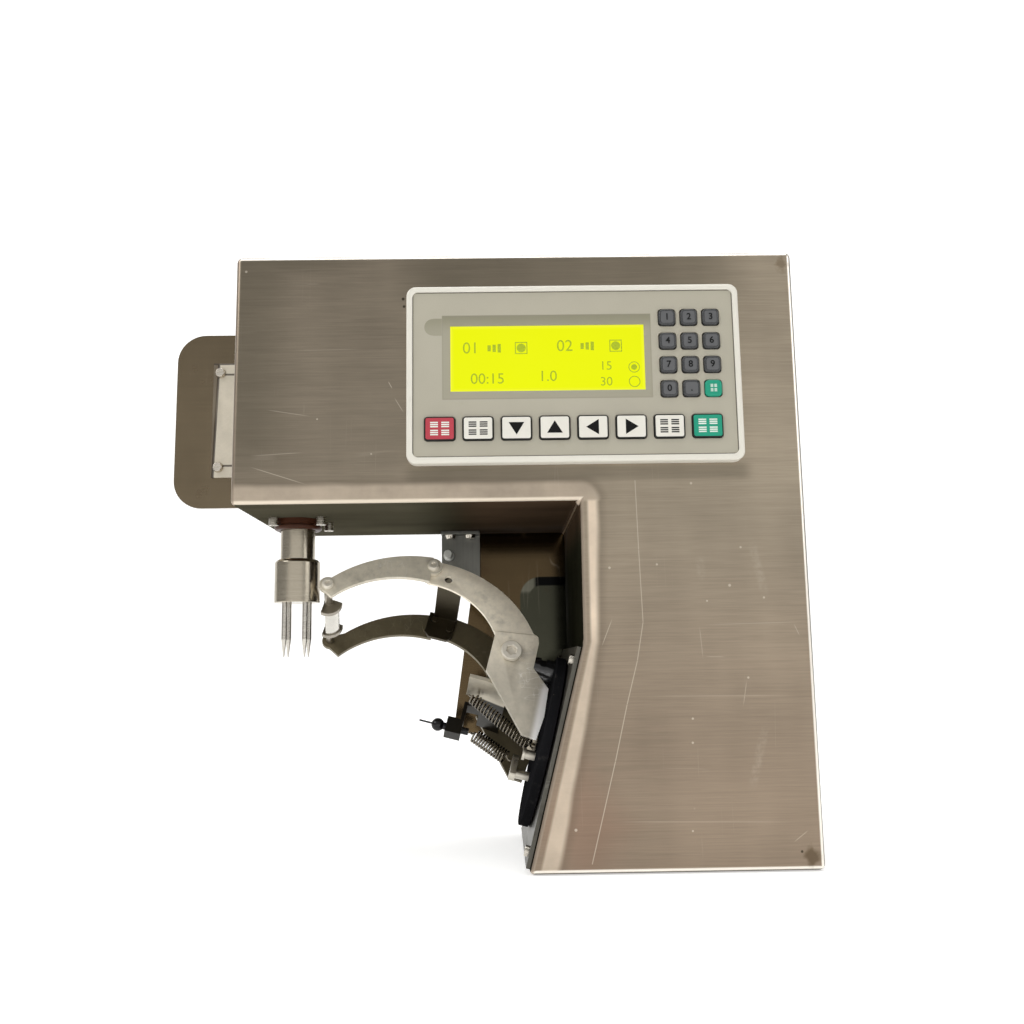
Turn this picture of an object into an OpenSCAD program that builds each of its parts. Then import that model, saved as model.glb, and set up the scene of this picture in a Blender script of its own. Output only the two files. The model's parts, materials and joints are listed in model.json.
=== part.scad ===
// Bench fruit peeling machine: folded steel housing, text display with keys, turning fruit fork,
// and a motor-driven swing carrier whose sprung twin arms hold the peeling blade.
// Millimetres, Z up, X to the right, Y away from the viewer. The origin is the middle of the foot.

/* [Housing] */
// overall width across the front
body_w = 294.5; // [270:0.5:310]
// overall height
body_h = 317; // [300:1:335]
// depth of the folded shell
body_d = 125; // [121:1:135]
// height of the head's underside
under_h = 183.5; // [178:0.5:190]
// width of the column at its foot
base_w = 145; // [138:1:156]
// width of the column above the slanted wall
column_w = 116; // [110:1:124]
// height where the slanted wall starts
slant_h = 112; // [106:1:118]
// thickness of the shell sheet
sheet_t = 1.5; // [1.2:0.1:2]
// width of the folded rim that the back plate is screwed to
rim_w = 12; // [10:0.5:14]
// thickness of the back plate
back_t = 2; // [1.5:0.1:3]
// diameter of the bench fixing holes in the floor
foot_hole_d = 6.5; // [5:0.5:8]
// spacing of the bench fixing holes along X
foot_pitch_x = 100; // [80:1:110]
// spacing of the bench fixing holes along Y
foot_pitch_y = 90; // [70:1:96]

/* [Back plate] */
// reach of the rounded tongue beyond the head
tongue_w = 70; // [55:1:80]
// height of the tongue
tongue_h = 114; // [100:1:120]
// corner radius of the tongue
tongue_r = 18; // [10:1:24]
// reach of the rear guard beyond the column at its top
guard_w = 54; // [46:1:58]
// reach of the rear guard beyond the column at its foot
guard_foot_w = 70; // [60:1:76]
// how far the rear guard hangs below the head
guard_drop = 124; // [110:1:140]
// width of the clamp strip on the tongue
strip_w = 46; // [36:1:52]
// height of the clamp strip
strip_h = 75; // [66:1:86]
// thickness of the clamp strip
strip_t = 2; // [1.5:0.1:3]
// spacing of the strip screws
strip_pitch = 62; // [50:1:64]
// diameter of the cover screws
cover_screw_d = 4; // [3:0.5:5]
// head diameter of the cover screws
cover_head_d = 7; // [6:0.5:9]
// head height of the cover screws
cover_head_h = 2.4; // [1.5:0.1:3]
// clearance of a screw in its hole, on the radius
screw_gap = 0.15; // [0.1:0.05:0.3]

/* [Display] */
// width of the display frame
panel_w = 173; // [168:1:178]
// height of the display frame
panel_h = 94; // [92:1:100]
// corner radius of the display frame
panel_r = 5; // [2:0.5:8]
// how far the display frame stands proud
panel_proud = 7; // [6.5:0.5:10]
// distance from the head's left edge to the display
panel_left = 90.5; // [80:0.1:95]
// display's middle below the head's middle
panel_low = 0.5; // [0:0.1:2]
// width of the raised border round the overlay
border_w = 3.2; // [2:0.1:4]
// depth of the overlay below the border
border_rise = 0.8; // [0.4:0.1:1.2]
// thickness of the printed overlay
film_t = 0.8; // [0.5:0.1:1]
// thickness of the web that carries the keys
web_t = 2; // [1.5:0.1:2.5]
// wall of the display frame round the space behind the keys
pocket_wall = 7; // [6:0.1:8]
// width of the display box behind the frame
box_w = 162; // [160.5:0.5:164]
// height of the display box
box_h = 84; // [82.5:0.5:87]
// depth of the display box
box_d = 32; // [24:1:40]
// wall of the display box
box_t = 2; // [1.5:0.1:2.5]
// clearance of the box in the shell's cut-out
box_gap = 0.5; // [0.3:0.1:0.8]
// width of the lit screen
lcd_w = 100.5; // [92:0.5:102]
// height of the lit screen
lcd_h = 35; // [30:0.5:37]
// screen centre, left of the panel's middle
lcd_left = 13.5; // [12:0.5:15]
// screen centre, above the panel's middle
lcd_up = 8; // [7:0.5:10]
// margin of the screen module round the lit part
lcd_margin = 2; // [1:0.5:2.5]
// thickness of the screen module
lcd_t = 3.6; // [2.5:0.1:4]

/* [Keys] */
// side of a number key
key_s = 8.8; // [8:0.1:9.2]
// spacing of the number keys along X
key_pitch_x = 11.35; // [11.2:0.05:11.6]
// spacing of the number keys along Z
key_pitch_z = 12.7; // [12:0.1:13]
// middle of the number keys, right of the panel's middle
pad_right = 60.2; // [59:0.1:60.5]
// top row of number keys, above the panel's middle
pad_up = 28.8; // [27:0.1:30]
// width of a row key
row_key_w = 15.7; // [14.5:0.1:16.5]
// height of a row key
row_key_h = 12.4; // [11:0.1:13]
// spacing of the row keys
row_pitch = 19.57; // [19.2:0.01:19.8]
// row of keys, below the panel's middle
row_down = 29.1; // [28:0.1:30]
// row of keys, left of the panel's middle
row_left = 0.8; // [0:0.1:1.2]
// corner radius of the keys
key_r = 1.6; // [1:0.1:2.4]
// how far the keys stand out of the overlay
key_rise = 1.4; // [1.2:0.1:2]
// key clearance in its opening
key_gap = 0.3; // [0.25:0.05:0.4]
// lip that holds a key behind the web
key_lip = 0.8; // [0.6:0.1:0.9]
// thickness of that lip
key_lip_t = 1; // [0.8:0.1:1.2]

/* [Spindle] */
// distance from the head's left edge to the spindle
spindle_in = 23.8; // [21:0.1:26]
// the spindle and swing axes stand this far in front of mid-depth
axis_fore = 6; // [4:0.5:8]
// diameter of the spindle below the head
spindle_d = 19; // [16:0.5:21]
// diameter of the spindle journal
journal_d = 12; // [10:0.5:13]
// running clearance on the radius
run_gap = 0.05; // [0.02:0.01:0.08]
// outer diameter of the shaft seal
seal_d = 26.5; // [25:0.5:29]
// height of the shaft seal
seal_h = 6; // [4:0.5:8]
// diameter of the chuck
chuck_d = 25; // [23.5:0.5:26]
// height of the chuck
chuck_h = 24; // [22:0.5:28]
// chuck bottom below the head
chuck_drop = 46.5; // [44:0.5:50]
// length of the spindle end inside the chuck
tenon_l = 14; // [10:1:16]
// diameter of a fork prong
prong_d = 3; // [2:0.5:3.5]
// number of fork prongs
prong_n = 4; // [3:1:4]
// prong circle radius
prong_r = 8; // [7.8:0.1:9]
// prong length below the chuck
prong_l = 30; // [20:1:36]
// sharpened length of a prong
point_l = 10; // [6:1:14]
// prong length inside the chuck
prong_in = 9; // [6:0.5:10]
// bearing flange outside the bolt spacing, each side
flange_margin = 6; // [5.5:0.1:6.2]
// thickness of the bearing flange
flange_t = 8; // [6:0.5:10]
// outer diameter of the bearing tube
tube_d = 36; // [34:0.5:37]
// outer diameter of the ball bearings
bearing_d = 28; // [26:0.5:30]
// width of a ball bearing
bearing_w = 8; // [7:0.5:9]
// bearing tube above the flange, as a share of the head's height
tube_share = 0.292; // [0.27:0.001:0.31]
// spacing of the flange bolts
bolt_pitch = 26; // [25:0.5:27]
// flange bolts right of the spindle
bolt_shift = 2; // [1.5:0.1:2.5]
// diameter of the frame bolts
bolt_d = 3.5; // [3:0.5:4]
// head diameter of the frame bolts
bolt_head_d = 5.4; // [5:0.1:6]
// head height of the frame bolts
bolt_head_h = 4.5; // [3:0.5:5]
// head height of the bolts in the slanted plate
plate_head_h = 2.2; // [2:0.1:2.6]
// diameter of the spindle gearbox
reducer_d = 37; // [34:0.5:38]
// length of the spindle gearbox, as a share of the head's height
reducer_share = 0.195; // [0.17:0.001:0.22]
// diameter of the drive end of the spindle
drive_d = 6; // [5:0.5:8]
// length of the drive end inside the gearbox
drive_l = 16; // [10:1:18]
// diameter of the spindle motor
motor_d = 33; // [28:0.5:36]
// length of the spindle motor, as a share of the head's height
motor_share = 0.24; // [0.2:0.001:0.27]

/* [Swing drive] */
// height where the swing axis meets the slanted wall
swing_z = 58.4; // [56:0.2:60]
// margin of the swing plate inside the slanted wall
plate_margin = 2.6; // [2:0.1:5]
// thickness of the swing plate
plate_t = 2; // [1.8:0.1:2.4]
// inset of the swing plate bolts from its edges
plate_bolt_in = 7; // [6:0.5:8]
// radius of the swing disc
disc_r = 46; // [42:0.5:47]
// thickness of the swing disc
disc_t = 5.2; // [4.6:0.1:5.8]
// gap between the swing plate and the disc
disc_gap = 0.8; // [0.5:0.1:1]
// diameter of the swing shaft
swing_d = 14; // [12:0.5:16]
// cap diameter on the swing shaft
swing_cap_d = 18; // [17:0.5:19]
// cap height on the swing shaft
swing_cap_h = 5; // [3:0.5:6]
// side of the swing gearbox
gear_w = 62; // [56:1:66]
// depth of the swing gearbox
gear_d = 42; // [38:1:46]
// length of the swing shaft inside the gearbox
gear_in = 30; // [20:1:34]
// diameter of the swing motor
swing_motor_d = 38; // [32:1:41]
// length of the swing motor
swing_motor_l = 78; // [60:1:84]

/* [Arms] */
// backward lean of the arms at rest, in degrees
lean = 29; // [26:0.5:30]
// spacing of the two arms
arm_gap = 58; // [56:0.5:59]
// thickness of the arm plates
arm_t = 2.5; // [2:0.1:2.8]
// pivot pin, outward from the wall
pivot_a = 33.4; // [33:0.1:34]
// pivot pin, above the swing axis
pivot_h = 31.7; // [31:0.1:32.5]
// diameter of the pivot pin
pin_d = 8; // [6:0.5:9]
// head diameter of the pivot pin
pin_head_d = 11.5; // [10:0.5:13]
// head height of the pivot pin
pin_head_h = 3; // [2:0.5:4]
// diameter of the posts that carry the pin
post_d = 12; // [11:0.5:13]
// posts from the middle between the arms
post_w = 18; // [17:0.5:19]
// centre of the curved arms, outward from the wall
curve_a = 81; // [80:0.5:82]
// centre of the curved arms, above the swing axis
curve_h = 10.3; // [9.8:0.1:10.8]
// outer radius of the main arms
arm_out_r = 68; // [67:0.5:69]
// difference of the main arms' outer and inner radius
arm_band = 21.7; // [21:0.1:22.5]
// shift of the main arms' inner curve along the arm
arm_shift_a = 2.7; // [2.4:0.1:3]
// rise of the main arms' inner curve
arm_shift_h = 6.4; // [6:0.1:6.8]
// rear arm's curve nearer the wall
rear_in = 4.5; // [4:0.1:5]
// outer radius of the tip arms beyond the main arms'
tip_over = 6.2; // [5.8:0.1:6.6]
// centre of the tip arms' curve below the main arms'
tip_sink = 5.7; // [5.4:0.1:6]
// difference of the tip arms' outer and inner radius
tip_band = 15.8; // [15.2:0.1:16.4]
// radius of the tip arms' lug at the elbow
lug_r = 5.2; // [4.8:0.1:5.6]
// shift of the tip arms' inner curve along the arm
tip_shift_a = 8; // [7.6:0.1:8.4]
// drop of the tip arms' inner curve
tip_shift_h = 0.8; // [0.6:0.1:1]
// blade hinge, outward from the wall
tip_a = 140.8; // [140:0.1:141]
// blade hinge, above the swing axis
tip_h = 44.5; // [44:0.1:45]
// radius of the eye at the blade hinge
eye_r = 4.8; // [4.6:0.1:5]
// elbow screw, degrees past the top of the curve
elbow_turn = 6.2; // [5.8:0.05:6.6]
// elbow screw, inside the outer edge of the main arms
elbow_in = 5.2; // [4.8:0.1:5.6]
// second elbow hole, degrees back from the screw
hole_turn = 9.65; // [9:0.05:10.3]
// second elbow hole, nearer the curve's centre than the screw
hole_in = 4.7; // [4.3:0.1:5.1]
// diameter of the open elbow hole in the front arm
elbow_hole_d = 4.6; // [4:0.1:5]
// diameter of the arm screws
arm_screw_d = 4; // [3:0.5:4.5]
// head diameter of the arm screws
arm_head_d = 7; // [6:0.5:8]
// head height of the arm screws
arm_head_h = 2.2; // [1.5:0.1:3]
// pivot plate's middle outward from the pin
plate_out = 0.5; // [0.3:0.1:0.7]
// pivot plate's middle above the pin
plate_over = 2.8; // [2.5:0.1:3.1]
// pivot plate edge towards the fruit
plate_fore = 10.4; // [9.5:0.1:11]
// pivot plate edge towards the wall
plate_aft = 14.3; // [13:0.1:15]
// pivot plate above the pin
plate_up = 13; // [12:0.1:14]
// gap between the heel of the arms and the disc
heel_gap = 0.7; // [0.6:0.1:1.5]
// heel of the arms below the pin
heel_down = 48.5; // [46:0.5:50]
// heel width at its foot
heel_w = 8; // [7:0.5:9]

/* [Arm fittings] */
// thickness of the cross plate
cross_t = 2.5; // [2:0.1:3]
// cross plate beyond the elbow screw
cross_margin = 4; // [3.5:0.1:4.5]
// width of the cross plate's flanges
cross_w = 17.2; // [16.5:0.1:18]
// width of the cross plate's web
cross_web = 14.2; // [13:0.1:15]
// top of the cross plate above the elbow screw
cross_up = 4.8; // [4.6:0.1:5]
// flanges of the cross plate below the elbow screw
cross_drop = 12; // [11:0.5:13]
// depth of the cross plate's front tab below the elbow screw
cross_front = 8.2; // [7.8:0.1:8.6]
// cut corners of the flanges
cross_cut = 3; // [2:0.5:4]
// thickness of the brace
brace_t = 2; // [1.5:0.1:2.5]
// top of the brace above the swing axis
brace_h = 14.5; // [13.5:0.1:15]
// inner edge of the brace from the wall
brace_a = 30; // [29:0.5:33]
// brace width inside the arms
brace_w = 13; // [11:0.5:14]
// reach of the front tab beyond the brace
tab_reach = 9; // [7:0.5:10]
// width of the front tab
tab_w = 21; // [18:0.5:22]
// adjuster, off the middle between the arms
adjust_w = 10; // [9:0.5:11]
// adjuster, below the swing axis
adjust_down = 1; // [0.5:0.1:1.5]
// side of the adjuster block
block_s = 9; // [8:0.5:9.5]
// depth of the adjuster block
block_d = 7; // [6:0.5:8]
// diameter of the adjuster screw
adjust_d = 4; // [3:0.5:4.5]
// diameter of the adjuster ball
ball_d = 7.2; // [6:0.2:8]
// diameter of the pointer on the ball
pointer_d = 1; // [0.8:0.1:1.2]
// length of the pointer
pointer_l = 7; // [4:0.5:9]
// diameter of the blade axle
axle_d = 4.5; // [4.4:0.1:5]
// bore of the blade axle
axle_bore = 3; // [2.5:0.1:3.2]
// gap beside the blade axle
axle_gap = 0.35; // [0.3:0.05:0.5]
// spacing of the blade cheeks, inside
blade_w = 22; // [20:0.5:26]
// thickness of the blade cheeks
cheek_t = 3; // [2.5:0.1:3.5]
// radius of the blade's curve
blade_r = 7; // [6.5:0.1:7.5]
// thickness of the blade
blade_t = 1; // [0.8:0.1:1.2]

/* [Springs] */
// wire of the upper spring
upper_wire = 1.1; // [0.9:0.05:1.15]
// mean coil diameter of the upper spring
upper_coil = 5.9; // [5:0.1:6.2]
// curls of the upper spring
upper_curls = 18; // [12:1:19]
// wire of the lower spring
lower_wire = 1.2; // [0.9:0.05:1.25]
// mean coil diameter of the lower spring
lower_coil = 7.2; // [6:0.1:7.4]
// curls of the lower spring
lower_curls = 10; // [8:1:11]
// upper spring, off the middle between the arms
upper_w = 10; // [9:0.5:11]
// diameter of the anchor pegs
peg_d = 5; // [4:0.5:5.5]
// clearance of a spring end from its seat
hook_gap = 0.3; // [0.2:0.05:0.4]

/* [Inside and rear] */
// width of the power supply
supply_w = 38; // [30:1:42]
// depth of the power supply
supply_d = 92; // [80:1:100]
// height of the power supply
supply_h = 110; // [90:1:125]
// height of the power supply above the floor
supply_z = 30; // [20:1:36]
// diameter of the cable gland
gland_d = 18; // [15:0.5:20]
// length of the cable gland outside
gland_l = 12; // [9:0.5:14]
// thread diameter of the cable gland
gland_thread_d = 12; // [10:0.5:12]
// gland from the right wall
gland_in = 30; // [26:0.5:40]
// gland above the floor
gland_z = 24; // [22:0.5:28]
// width of the sensor bracket
bracket_w = 24; // [20:0.5:26]
// length of the sensor bracket
bracket_l = 33; // [28:0.5:36]
// thickness of the sensor bracket
bracket_t = 2; // [1.5:0.1:2.5]
// foot of the sensor bracket
bracket_foot = 10; // [9:0.5:12]
// sensor bracket, left of the column
bracket_left = 65.5; // [62:0.5:70]
// sensor bracket, in front of the back plate
bracket_fore = 5; // [4.5:0.1:6]
// diameter of the home sensor
sensor_d = 5; // [4:0.5:8]
// length of the home sensor
sensor_l = 20; // [16:1:24]

/* [Hidden] */
$fn = 64;
xr = base_w / 2;
xl = xr - body_w;
xb = -base_w / 2;
xi = xr - column_w;
zu = under_h;
head_h = body_h - under_h;
tube_h = tube_share * head_h;
reducer_l = reducer_share * head_h;
motor_l = motor_share * head_h;
yf = -body_d / 2;
yb = body_d / 2;
tilt = atan((base_w - column_w) / slant_h);
slant_l = slant_h / cos(tilt);
axis_y = -axis_fore;
sx = xl + spindle_in;
wall_x = xb + swing_z * tan(tilt);
along = swing_z / cos(tilt);
pcx = xl + panel_left + panel_w / 2;
pcz = (body_h + zu) / 2 - panel_low;
py = yf - panel_proud;
film_d = border_rise + film_t;
web_d = film_d + web_t;
pocket_w = panel_w - 2 * pocket_wall;
pocket_h = panel_h - 2 * pocket_wall;
hole_r = cover_screw_d / 2 + screw_gap;
bolt_hole_r = bolt_d / 2 + screw_gap;
z_in = zu + sheet_t;
z_tube = z_in + flange_t + tube_h;
z_chuck = zu - chuck_drop;
z_shaft = z_chuck + chuck_h;
disc_z0 = plate_t + disc_gap;
disc_z1 = disc_z0 + disc_t;
arm_in = arm_gap / 2 - arm_t / 2;
arm_out = arm_gap / 2 + arm_t / 2;
tip_out = arm_out + arm_t;
pin_r = pin_d / 2;
flange_w = bolt_pitch + 2 * flange_margin;
arm_in_r = arm_out_r - arm_band;
tip_out_r = arm_out_r + tip_over;
tip_in_r = tip_out_r - tip_band;
plate_a = pivot_a + plate_out;
plate_h = pivot_h + plate_over;
heel_aft = plate_a - disc_z1 - heel_gap;
mid_r = (arm_in_r + arm_shift_h + arm_out_r) / 2;
elbow_r = arm_out_r - elbow_in;
elbow_a = curve_a + elbow_r * sin(elbow_turn);
elbow_h = curve_h + elbow_r * cos(elbow_turn);
hole_a = curve_a + (elbow_r - hole_in) * sin(elbow_turn - hole_turn);
hole_h = curve_h + (elbow_r - hole_in) * cos(elbow_turn - hole_turn);
axle_end = arm_out - axle_gap;
brace_end = brace_a + brace_w + tab_reach;
far = 400;
e = 0.01;

// Helpers

// outline of the housing seen from the front, drawn in by t
module outline(t) {
  k = t / cos(tilt);
  slope = tan(tilt);
  polygon([
    [xl + t, body_h - t],
    [xr - t, body_h - t],
    [xr - t, t],
    [xb + t * slope + k, t],
    [xi + t, (xi + t - xb - k) / slope],
    [xi + t, zu + t],
    [xl + t, zu + t]
  ]);
}

// a front-view drawing made solid from depth y0 to y1
module front_solid(y0, y1) {
  translate([0, y1, 0]) rotate([90, 0, 0]) linear_extrude(y1 - y0) children();
}

// a rod along Y from y0 to y1
module rod_y(x, z, r, y0, y1) {
  translate([x, y0, z]) rotate([-90, 0, 0]) cylinder(r = r, h = y1 - y0);
}

// rectangle with round corners
module round_rect(w, h, r) {
  square([w - 2 * r, h], center = true);
  square([w, h - 2 * r], center = true);
  for (i = [-1, 1]) {
    for (j = [-1, 1]) {
      translate([i * (w / 2 - r), j * (h / 2 - r)]) circle(r);
    }
  }
}

// a drawing on the display, solid from depth d0 to d1 behind its front
module slab(d0, d1) {
  translate([pcx, py + d1, pcz]) rotate([90, 0, 0]) linear_extrude(d1 - d0) children();
}

// axis of the swing drive: local Z runs out of the slanted wall, local X up along it
module swing_frame() {
  translate([wall_x, axis_y, swing_z]) rotate([0, tilt - 90, 0]) children();
}

// the swing frame turned back to the rest lean: local X is height, Y depth, Z distance from the wall
module arm_frame() {
  swing_frame() rotate([0, 0, lean]) children();
}

// a drawing of distance and height made solid from depth w0 to w1
module arm_solid(w0, w1) {
  translate([0, w0, 0]) rotate([0, -90, -90]) linear_extrude(w1 - w0) children();
}

// a rod along the arms' depth
module arm_rod(a, h, r, w0, w1) {
  translate([h, w0, a]) rotate([-90, 0, 0]) cylinder(r = r, h = w1 - w0);
}

// a rod along the swing axis
module axis_rod(h, w, r, a0, a1) {
  translate([h, w, a0]) cylinder(r = r, h = a1 - a0);
}

// screw places on the back plate's rim
module rim_places() {
  in = rim_w / 2 + sheet_t / 2;
  mid_x = (xl + xi) / 2;
  for (p = [[xl + in, body_h - in], [mid_x, body_h - in], [xr - in, body_h - in], [xr - in, zu],
      [xr - in, in], [xb + in + rim_w, in], [xl + in, zu + in], [mid_x, zu + in]]) {
    translate([p[0], 0, p[1]]) children();
  }
}

// strip screw places on the tongue
module strip_places() {
  for (i = [-1, 1]) {
    translate([xl - strip_w + cover_head_d / 2 + 1, 0, strip_mid + i * strip_pitch / 2]) children();
  }
}

tongue_z = body_h - 1 - tongue_h / 2;
strip_mid = tongue_z;

// bench fixing holes
module foot_places() {
  for (i = [-1, 1]) {
    for (j = [-1, 1]) {
      translate([i * foot_pitch_x / 2, j * foot_pitch_y / 2, 0]) children();
    }
  }
}

// flange bolt places round the spindle
module flange_places() {
  for (i = [-1, 1]) {
    for (j = [-1, 1]) {
      translate([sx + bolt_shift + i * bolt_pitch / 2, axis_y + j * bolt_pitch / 2, 0]) children();
    }
  }
}

plate_x0 = plate_margin - along;
plate_x1 = slant_l - along - plate_margin;
plate_y0 = yf + plate_margin - axis_y;
plate_y1 = yb - plate_margin - axis_y;

// swing plate bolt places, in the swing frame
module plate_places() {
  for (x = [plate_x0 + plate_bolt_in, plate_x1 - plate_bolt_in]) {
    for (y = [plate_y0 + plate_bolt_in, plate_y1 - plate_bolt_in]) {
      translate([x, y, 0]) children();
    }
  }
}

// Housing

module front_shell() {
  color("#9b9184") difference() {
    union() {
      difference() {
        front_solid(yf, yb) outline(0);
        front_solid(yf + sheet_t, yb + 1) outline(sheet_t);
      }
      difference() {
        front_solid(yb - sheet_t, yb) outline(sheet_t / 2);
        front_solid(yb - sheet_t - 1, yb + 1) outline(rim_w);
      }
    }
    slab(panel_proud - 1, panel_proud + sheet_t + 1)
      square([box_w + 2 * box_gap, box_h + 2 * box_gap], center = true);
    translate([sx, axis_y, zu - 1]) cylinder(d = spindle_d + 3, h = sheet_t + 2);
    flange_places() translate([0, 0, zu - 1]) cylinder(r = bolt_hole_r, h = sheet_t + 2);
    foot_places() translate([0, 0, -1]) cylinder(d = foot_hole_d, h = sheet_t + 2);
    swing_frame() translate([0, 0, -sheet_t - 1]) cylinder(d = swing_d + 4, h = sheet_t + 2);
    swing_frame() plate_places()
      translate([0, 0, -sheet_t - 1]) cylinder(r = bolt_hole_r, h = sheet_t + 2);
    rim_places() rod_y(0, 0, hole_r, yb - sheet_t - 1, yb + 1);
    for (x = bracket_holes) {
      translate([x, bracket_y - bracket_foot / 2, zu - 1]) cylinder(r = hole_r, h = sheet_t + 2);
    }
  }
}

module back_plate() {
  top = tongue_z + tongue_h / 2;
  low = tongue_z - tongue_h / 2;
  left = xl - tongue_w;
  foot_x = xb + (zu - guard_drop) * tan(tilt);
  color("#7d6c58") difference() {
    front_solid(yb, yb + back_t) polygon([
      [xl, body_h],
      [xr, body_h],
      [xr, 0],
      [xb, 0],
      [foot_x, zu - guard_drop],
      [xi - guard_foot_w + 8, zu - guard_drop],
      [xi - guard_foot_w, zu - guard_drop + 8],
      [xi - guard_w, zu],
      [xl, zu],
      [xl, low],
      [left, low],
      [left, top],
      [xl, top]
    ]);
    for (s = [-1, 1]) {
      front_solid(yb - 1, yb + back_t + 1) difference() {
        translate([left - 1, tongue_z + s * (tongue_h / 2 - tongue_r / 2 + 0.5)])
          translate([0, -tongue_r / 2 - 0.5]) square([tongue_r + 1, tongue_r + 1]);
        translate([left + tongue_r, tongue_z + s * (tongue_h / 2 - tongue_r)]) circle(tongue_r);
      }
    }
    rim_places() rod_y(0, 0, hole_r, yb - 1, yb + back_t + 1);
    strip_places() rod_y(0, 0, hole_r, yb - 1, yb + back_t + 1);
    rod_y(xr - gland_in, gland_z, gland_thread_d / 2 + screw_gap, yb - 1, yb + back_t + 1);
  }
}

module pan_screw(l) {
  cylinder(d = cover_screw_d, h = l);
  translate([0, 0, -cover_head_h]) difference() {
    cylinder(d1 = cover_head_d - 1.6, d2 = cover_head_d, h = cover_head_h);
    translate([-cover_head_d / 2, -0.5, -1]) cube([cover_head_d, 1, 1 + cover_head_h / 3]);
  }
}

module cover_screws() {
  color("#b9b5ac") {
    rim_places() translate([0, yb + back_t, 0]) rotate([90, 0, 0]) pan_screw(back_t + sheet_t + 3);
    strip_places() translate([0, yb - strip_t, 0]) rotate([-90, 0, 0]) pan_screw(strip_t + back_t + 2);
    for (x = bracket_holes) {
      translate([x, bracket_y - bracket_foot / 2, zu - bracket_t])
        pan_screw(bracket_t + sheet_t + 3);
    }
  }
}

module clamp_strip() {
  color("#d6cfc0") difference() {
    front_solid(yb - strip_t, yb) translate([xl - strip_w / 2, strip_mid])
      square([strip_w, strip_h], center = true);
    strip_places() rod_y(0, 0, hole_r, yb - strip_t - 1, yb + 1);
  }
}

// Display

// key middles on the display
module pad_place(i) {
  col = i % 3;
  row = floor(i / 3);
  translate([pad_right + (col - 1) * key_pitch_x, pad_up - row * key_pitch_z]) children();
}

module row_place(i) {
  translate([(i - 3.5) * row_pitch - row_left, -row_down]) children();
}

module key_openings(gap) {
  for (i = [0:11]) {
    pad_place(i) round_rect(key_s + 2 * gap, key_s + 2 * gap, key_r + gap);
  }
  for (i = [0:7]) {
    row_place(i) round_rect(row_key_w + 2 * gap, row_key_h + 2 * gap, key_r + gap);
  }
}

module display_frame() {
  color("#e9e6dd") difference() {
    slab(0, panel_proud) round_rect(panel_w, panel_h, panel_r);
    slab(-1, film_d) round_rect(panel_w - 2 * border_w, panel_h - 2 * border_w, panel_r - 2);
    slab(web_d, panel_proud + 1) square([pocket_w, pocket_h], center = true);
    slab(film_d - 1, web_d + 1) key_openings(key_gap);
    slab(film_d - 1, web_d + 1) translate([-lcd_left, lcd_up])
      square([lcd_w + 2 * lcd_margin + 2 * screw_gap, lcd_h + 2 * lcd_margin + 2 * screw_gap], center = true);
  }
}

module display_overlay() {
  color("#b7b2a6") difference() {
    slab(border_rise, film_d) round_rect(panel_w - 2 * border_w, panel_h - 2 * border_w, panel_r - 2);
    slab(border_rise - 1, film_d + 1) key_openings(key_gap);
    slab(border_rise - 1, film_d + 1) translate([-lcd_left, lcd_up]) square([lcd_w, lcd_h], center = true);
  }
}

module lcd_module() {
  color("#d8e000") slab(film_d, film_d + lcd_t) translate([-lcd_left, lcd_up])
    square([lcd_w + 2 * lcd_margin, lcd_h + 2 * lcd_margin], center = true);
}

module display_box() {
  color("#d8d4c8") difference() {
    slab(panel_proud, panel_proud + box_d) square([box_w, box_h], center = true);
    slab(panel_proud - 1, panel_proud + box_d - box_t)
      square([box_w - 2 * box_t, box_h - 2 * box_t], center = true);
  }
}

module pad_key(i) {
  color(i == 11 ? "#2f9e6a" : "#5d6670") {
    slab(border_rise - key_rise, web_d) pad_place(i) round_rect(key_s, key_s, key_r);
    slab(web_d, web_d + key_lip_t) pad_place(i) round_rect(key_s + 2 * key_lip, key_s + 2 * key_lip, key_r);
  }
}

module row_key(i) {
  color(i == 0 ? "#c8404a" : i == 7 ? "#2f9e6a" : "#e6e3da") {
    slab(border_rise - key_rise, web_d) row_place(i) round_rect(row_key_w, row_key_h, key_r);
    slab(web_d, web_d + key_lip_t) row_place(i)
      round_rect(row_key_w + 2 * key_lip, row_key_h + 2 * key_lip, key_r);
  }
}

// Spindle

module bearing_housing() {
  color("#6f6f70") translate([sx, axis_y, z_in]) difference() {
    union() {
      translate([-flange_w / 2, -flange_w / 2, 0]) cube([flange_w, flange_w, flange_t]);
      cylinder(d = tube_d, h = flange_t + tube_h);
    }
    translate([0, 0, -1]) cylinder(d = spindle_d + 3, h = flange_t + tube_h + 2);
    translate([0, 0, flange_t / 2]) cylinder(d = bearing_d, h = flange_t + tube_h);
    for (i = [-1, 1]) {
      for (j = [-1, 1]) {
        translate([bolt_shift + i * bolt_pitch / 2, j * bolt_pitch / 2, -1])
          cylinder(r = bolt_hole_r, h = flange_t + 2);
      }
    }
  }
}

module spindle_bearings() {
  color("#c9c9c6") for (z = [z_in + flange_t / 2, z_in + flange_t / 2 + 2.5 * bearing_w]) {
    translate([sx, axis_y, z]) difference() {
      cylinder(d = bearing_d, h = bearing_w);
      translate([0, 0, -1]) cylinder(r = journal_d / 2 + run_gap, h = bearing_w + 2);
    }
  }
}

module shaft_seal() {
  color("#5a2c20") translate([sx, axis_y, zu - seal_h]) difference() {
    cylinder(d = seal_d, h = seal_h);
    translate([0, 0, -1]) cylinder(r = spindle_d / 2 + run_gap, h = seal_h + 2);
  }
}

module cap_bolt(l, head) {
  cylinder(d = bolt_d, h = l);
  translate([0, 0, -head]) difference() {
    cylinder(d = bolt_head_d, h = head);
    translate([0, 0, -1]) cylinder(d = bolt_head_d * 0.55, h = 1 + head / 2, $fn = 6);
  }
}

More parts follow.
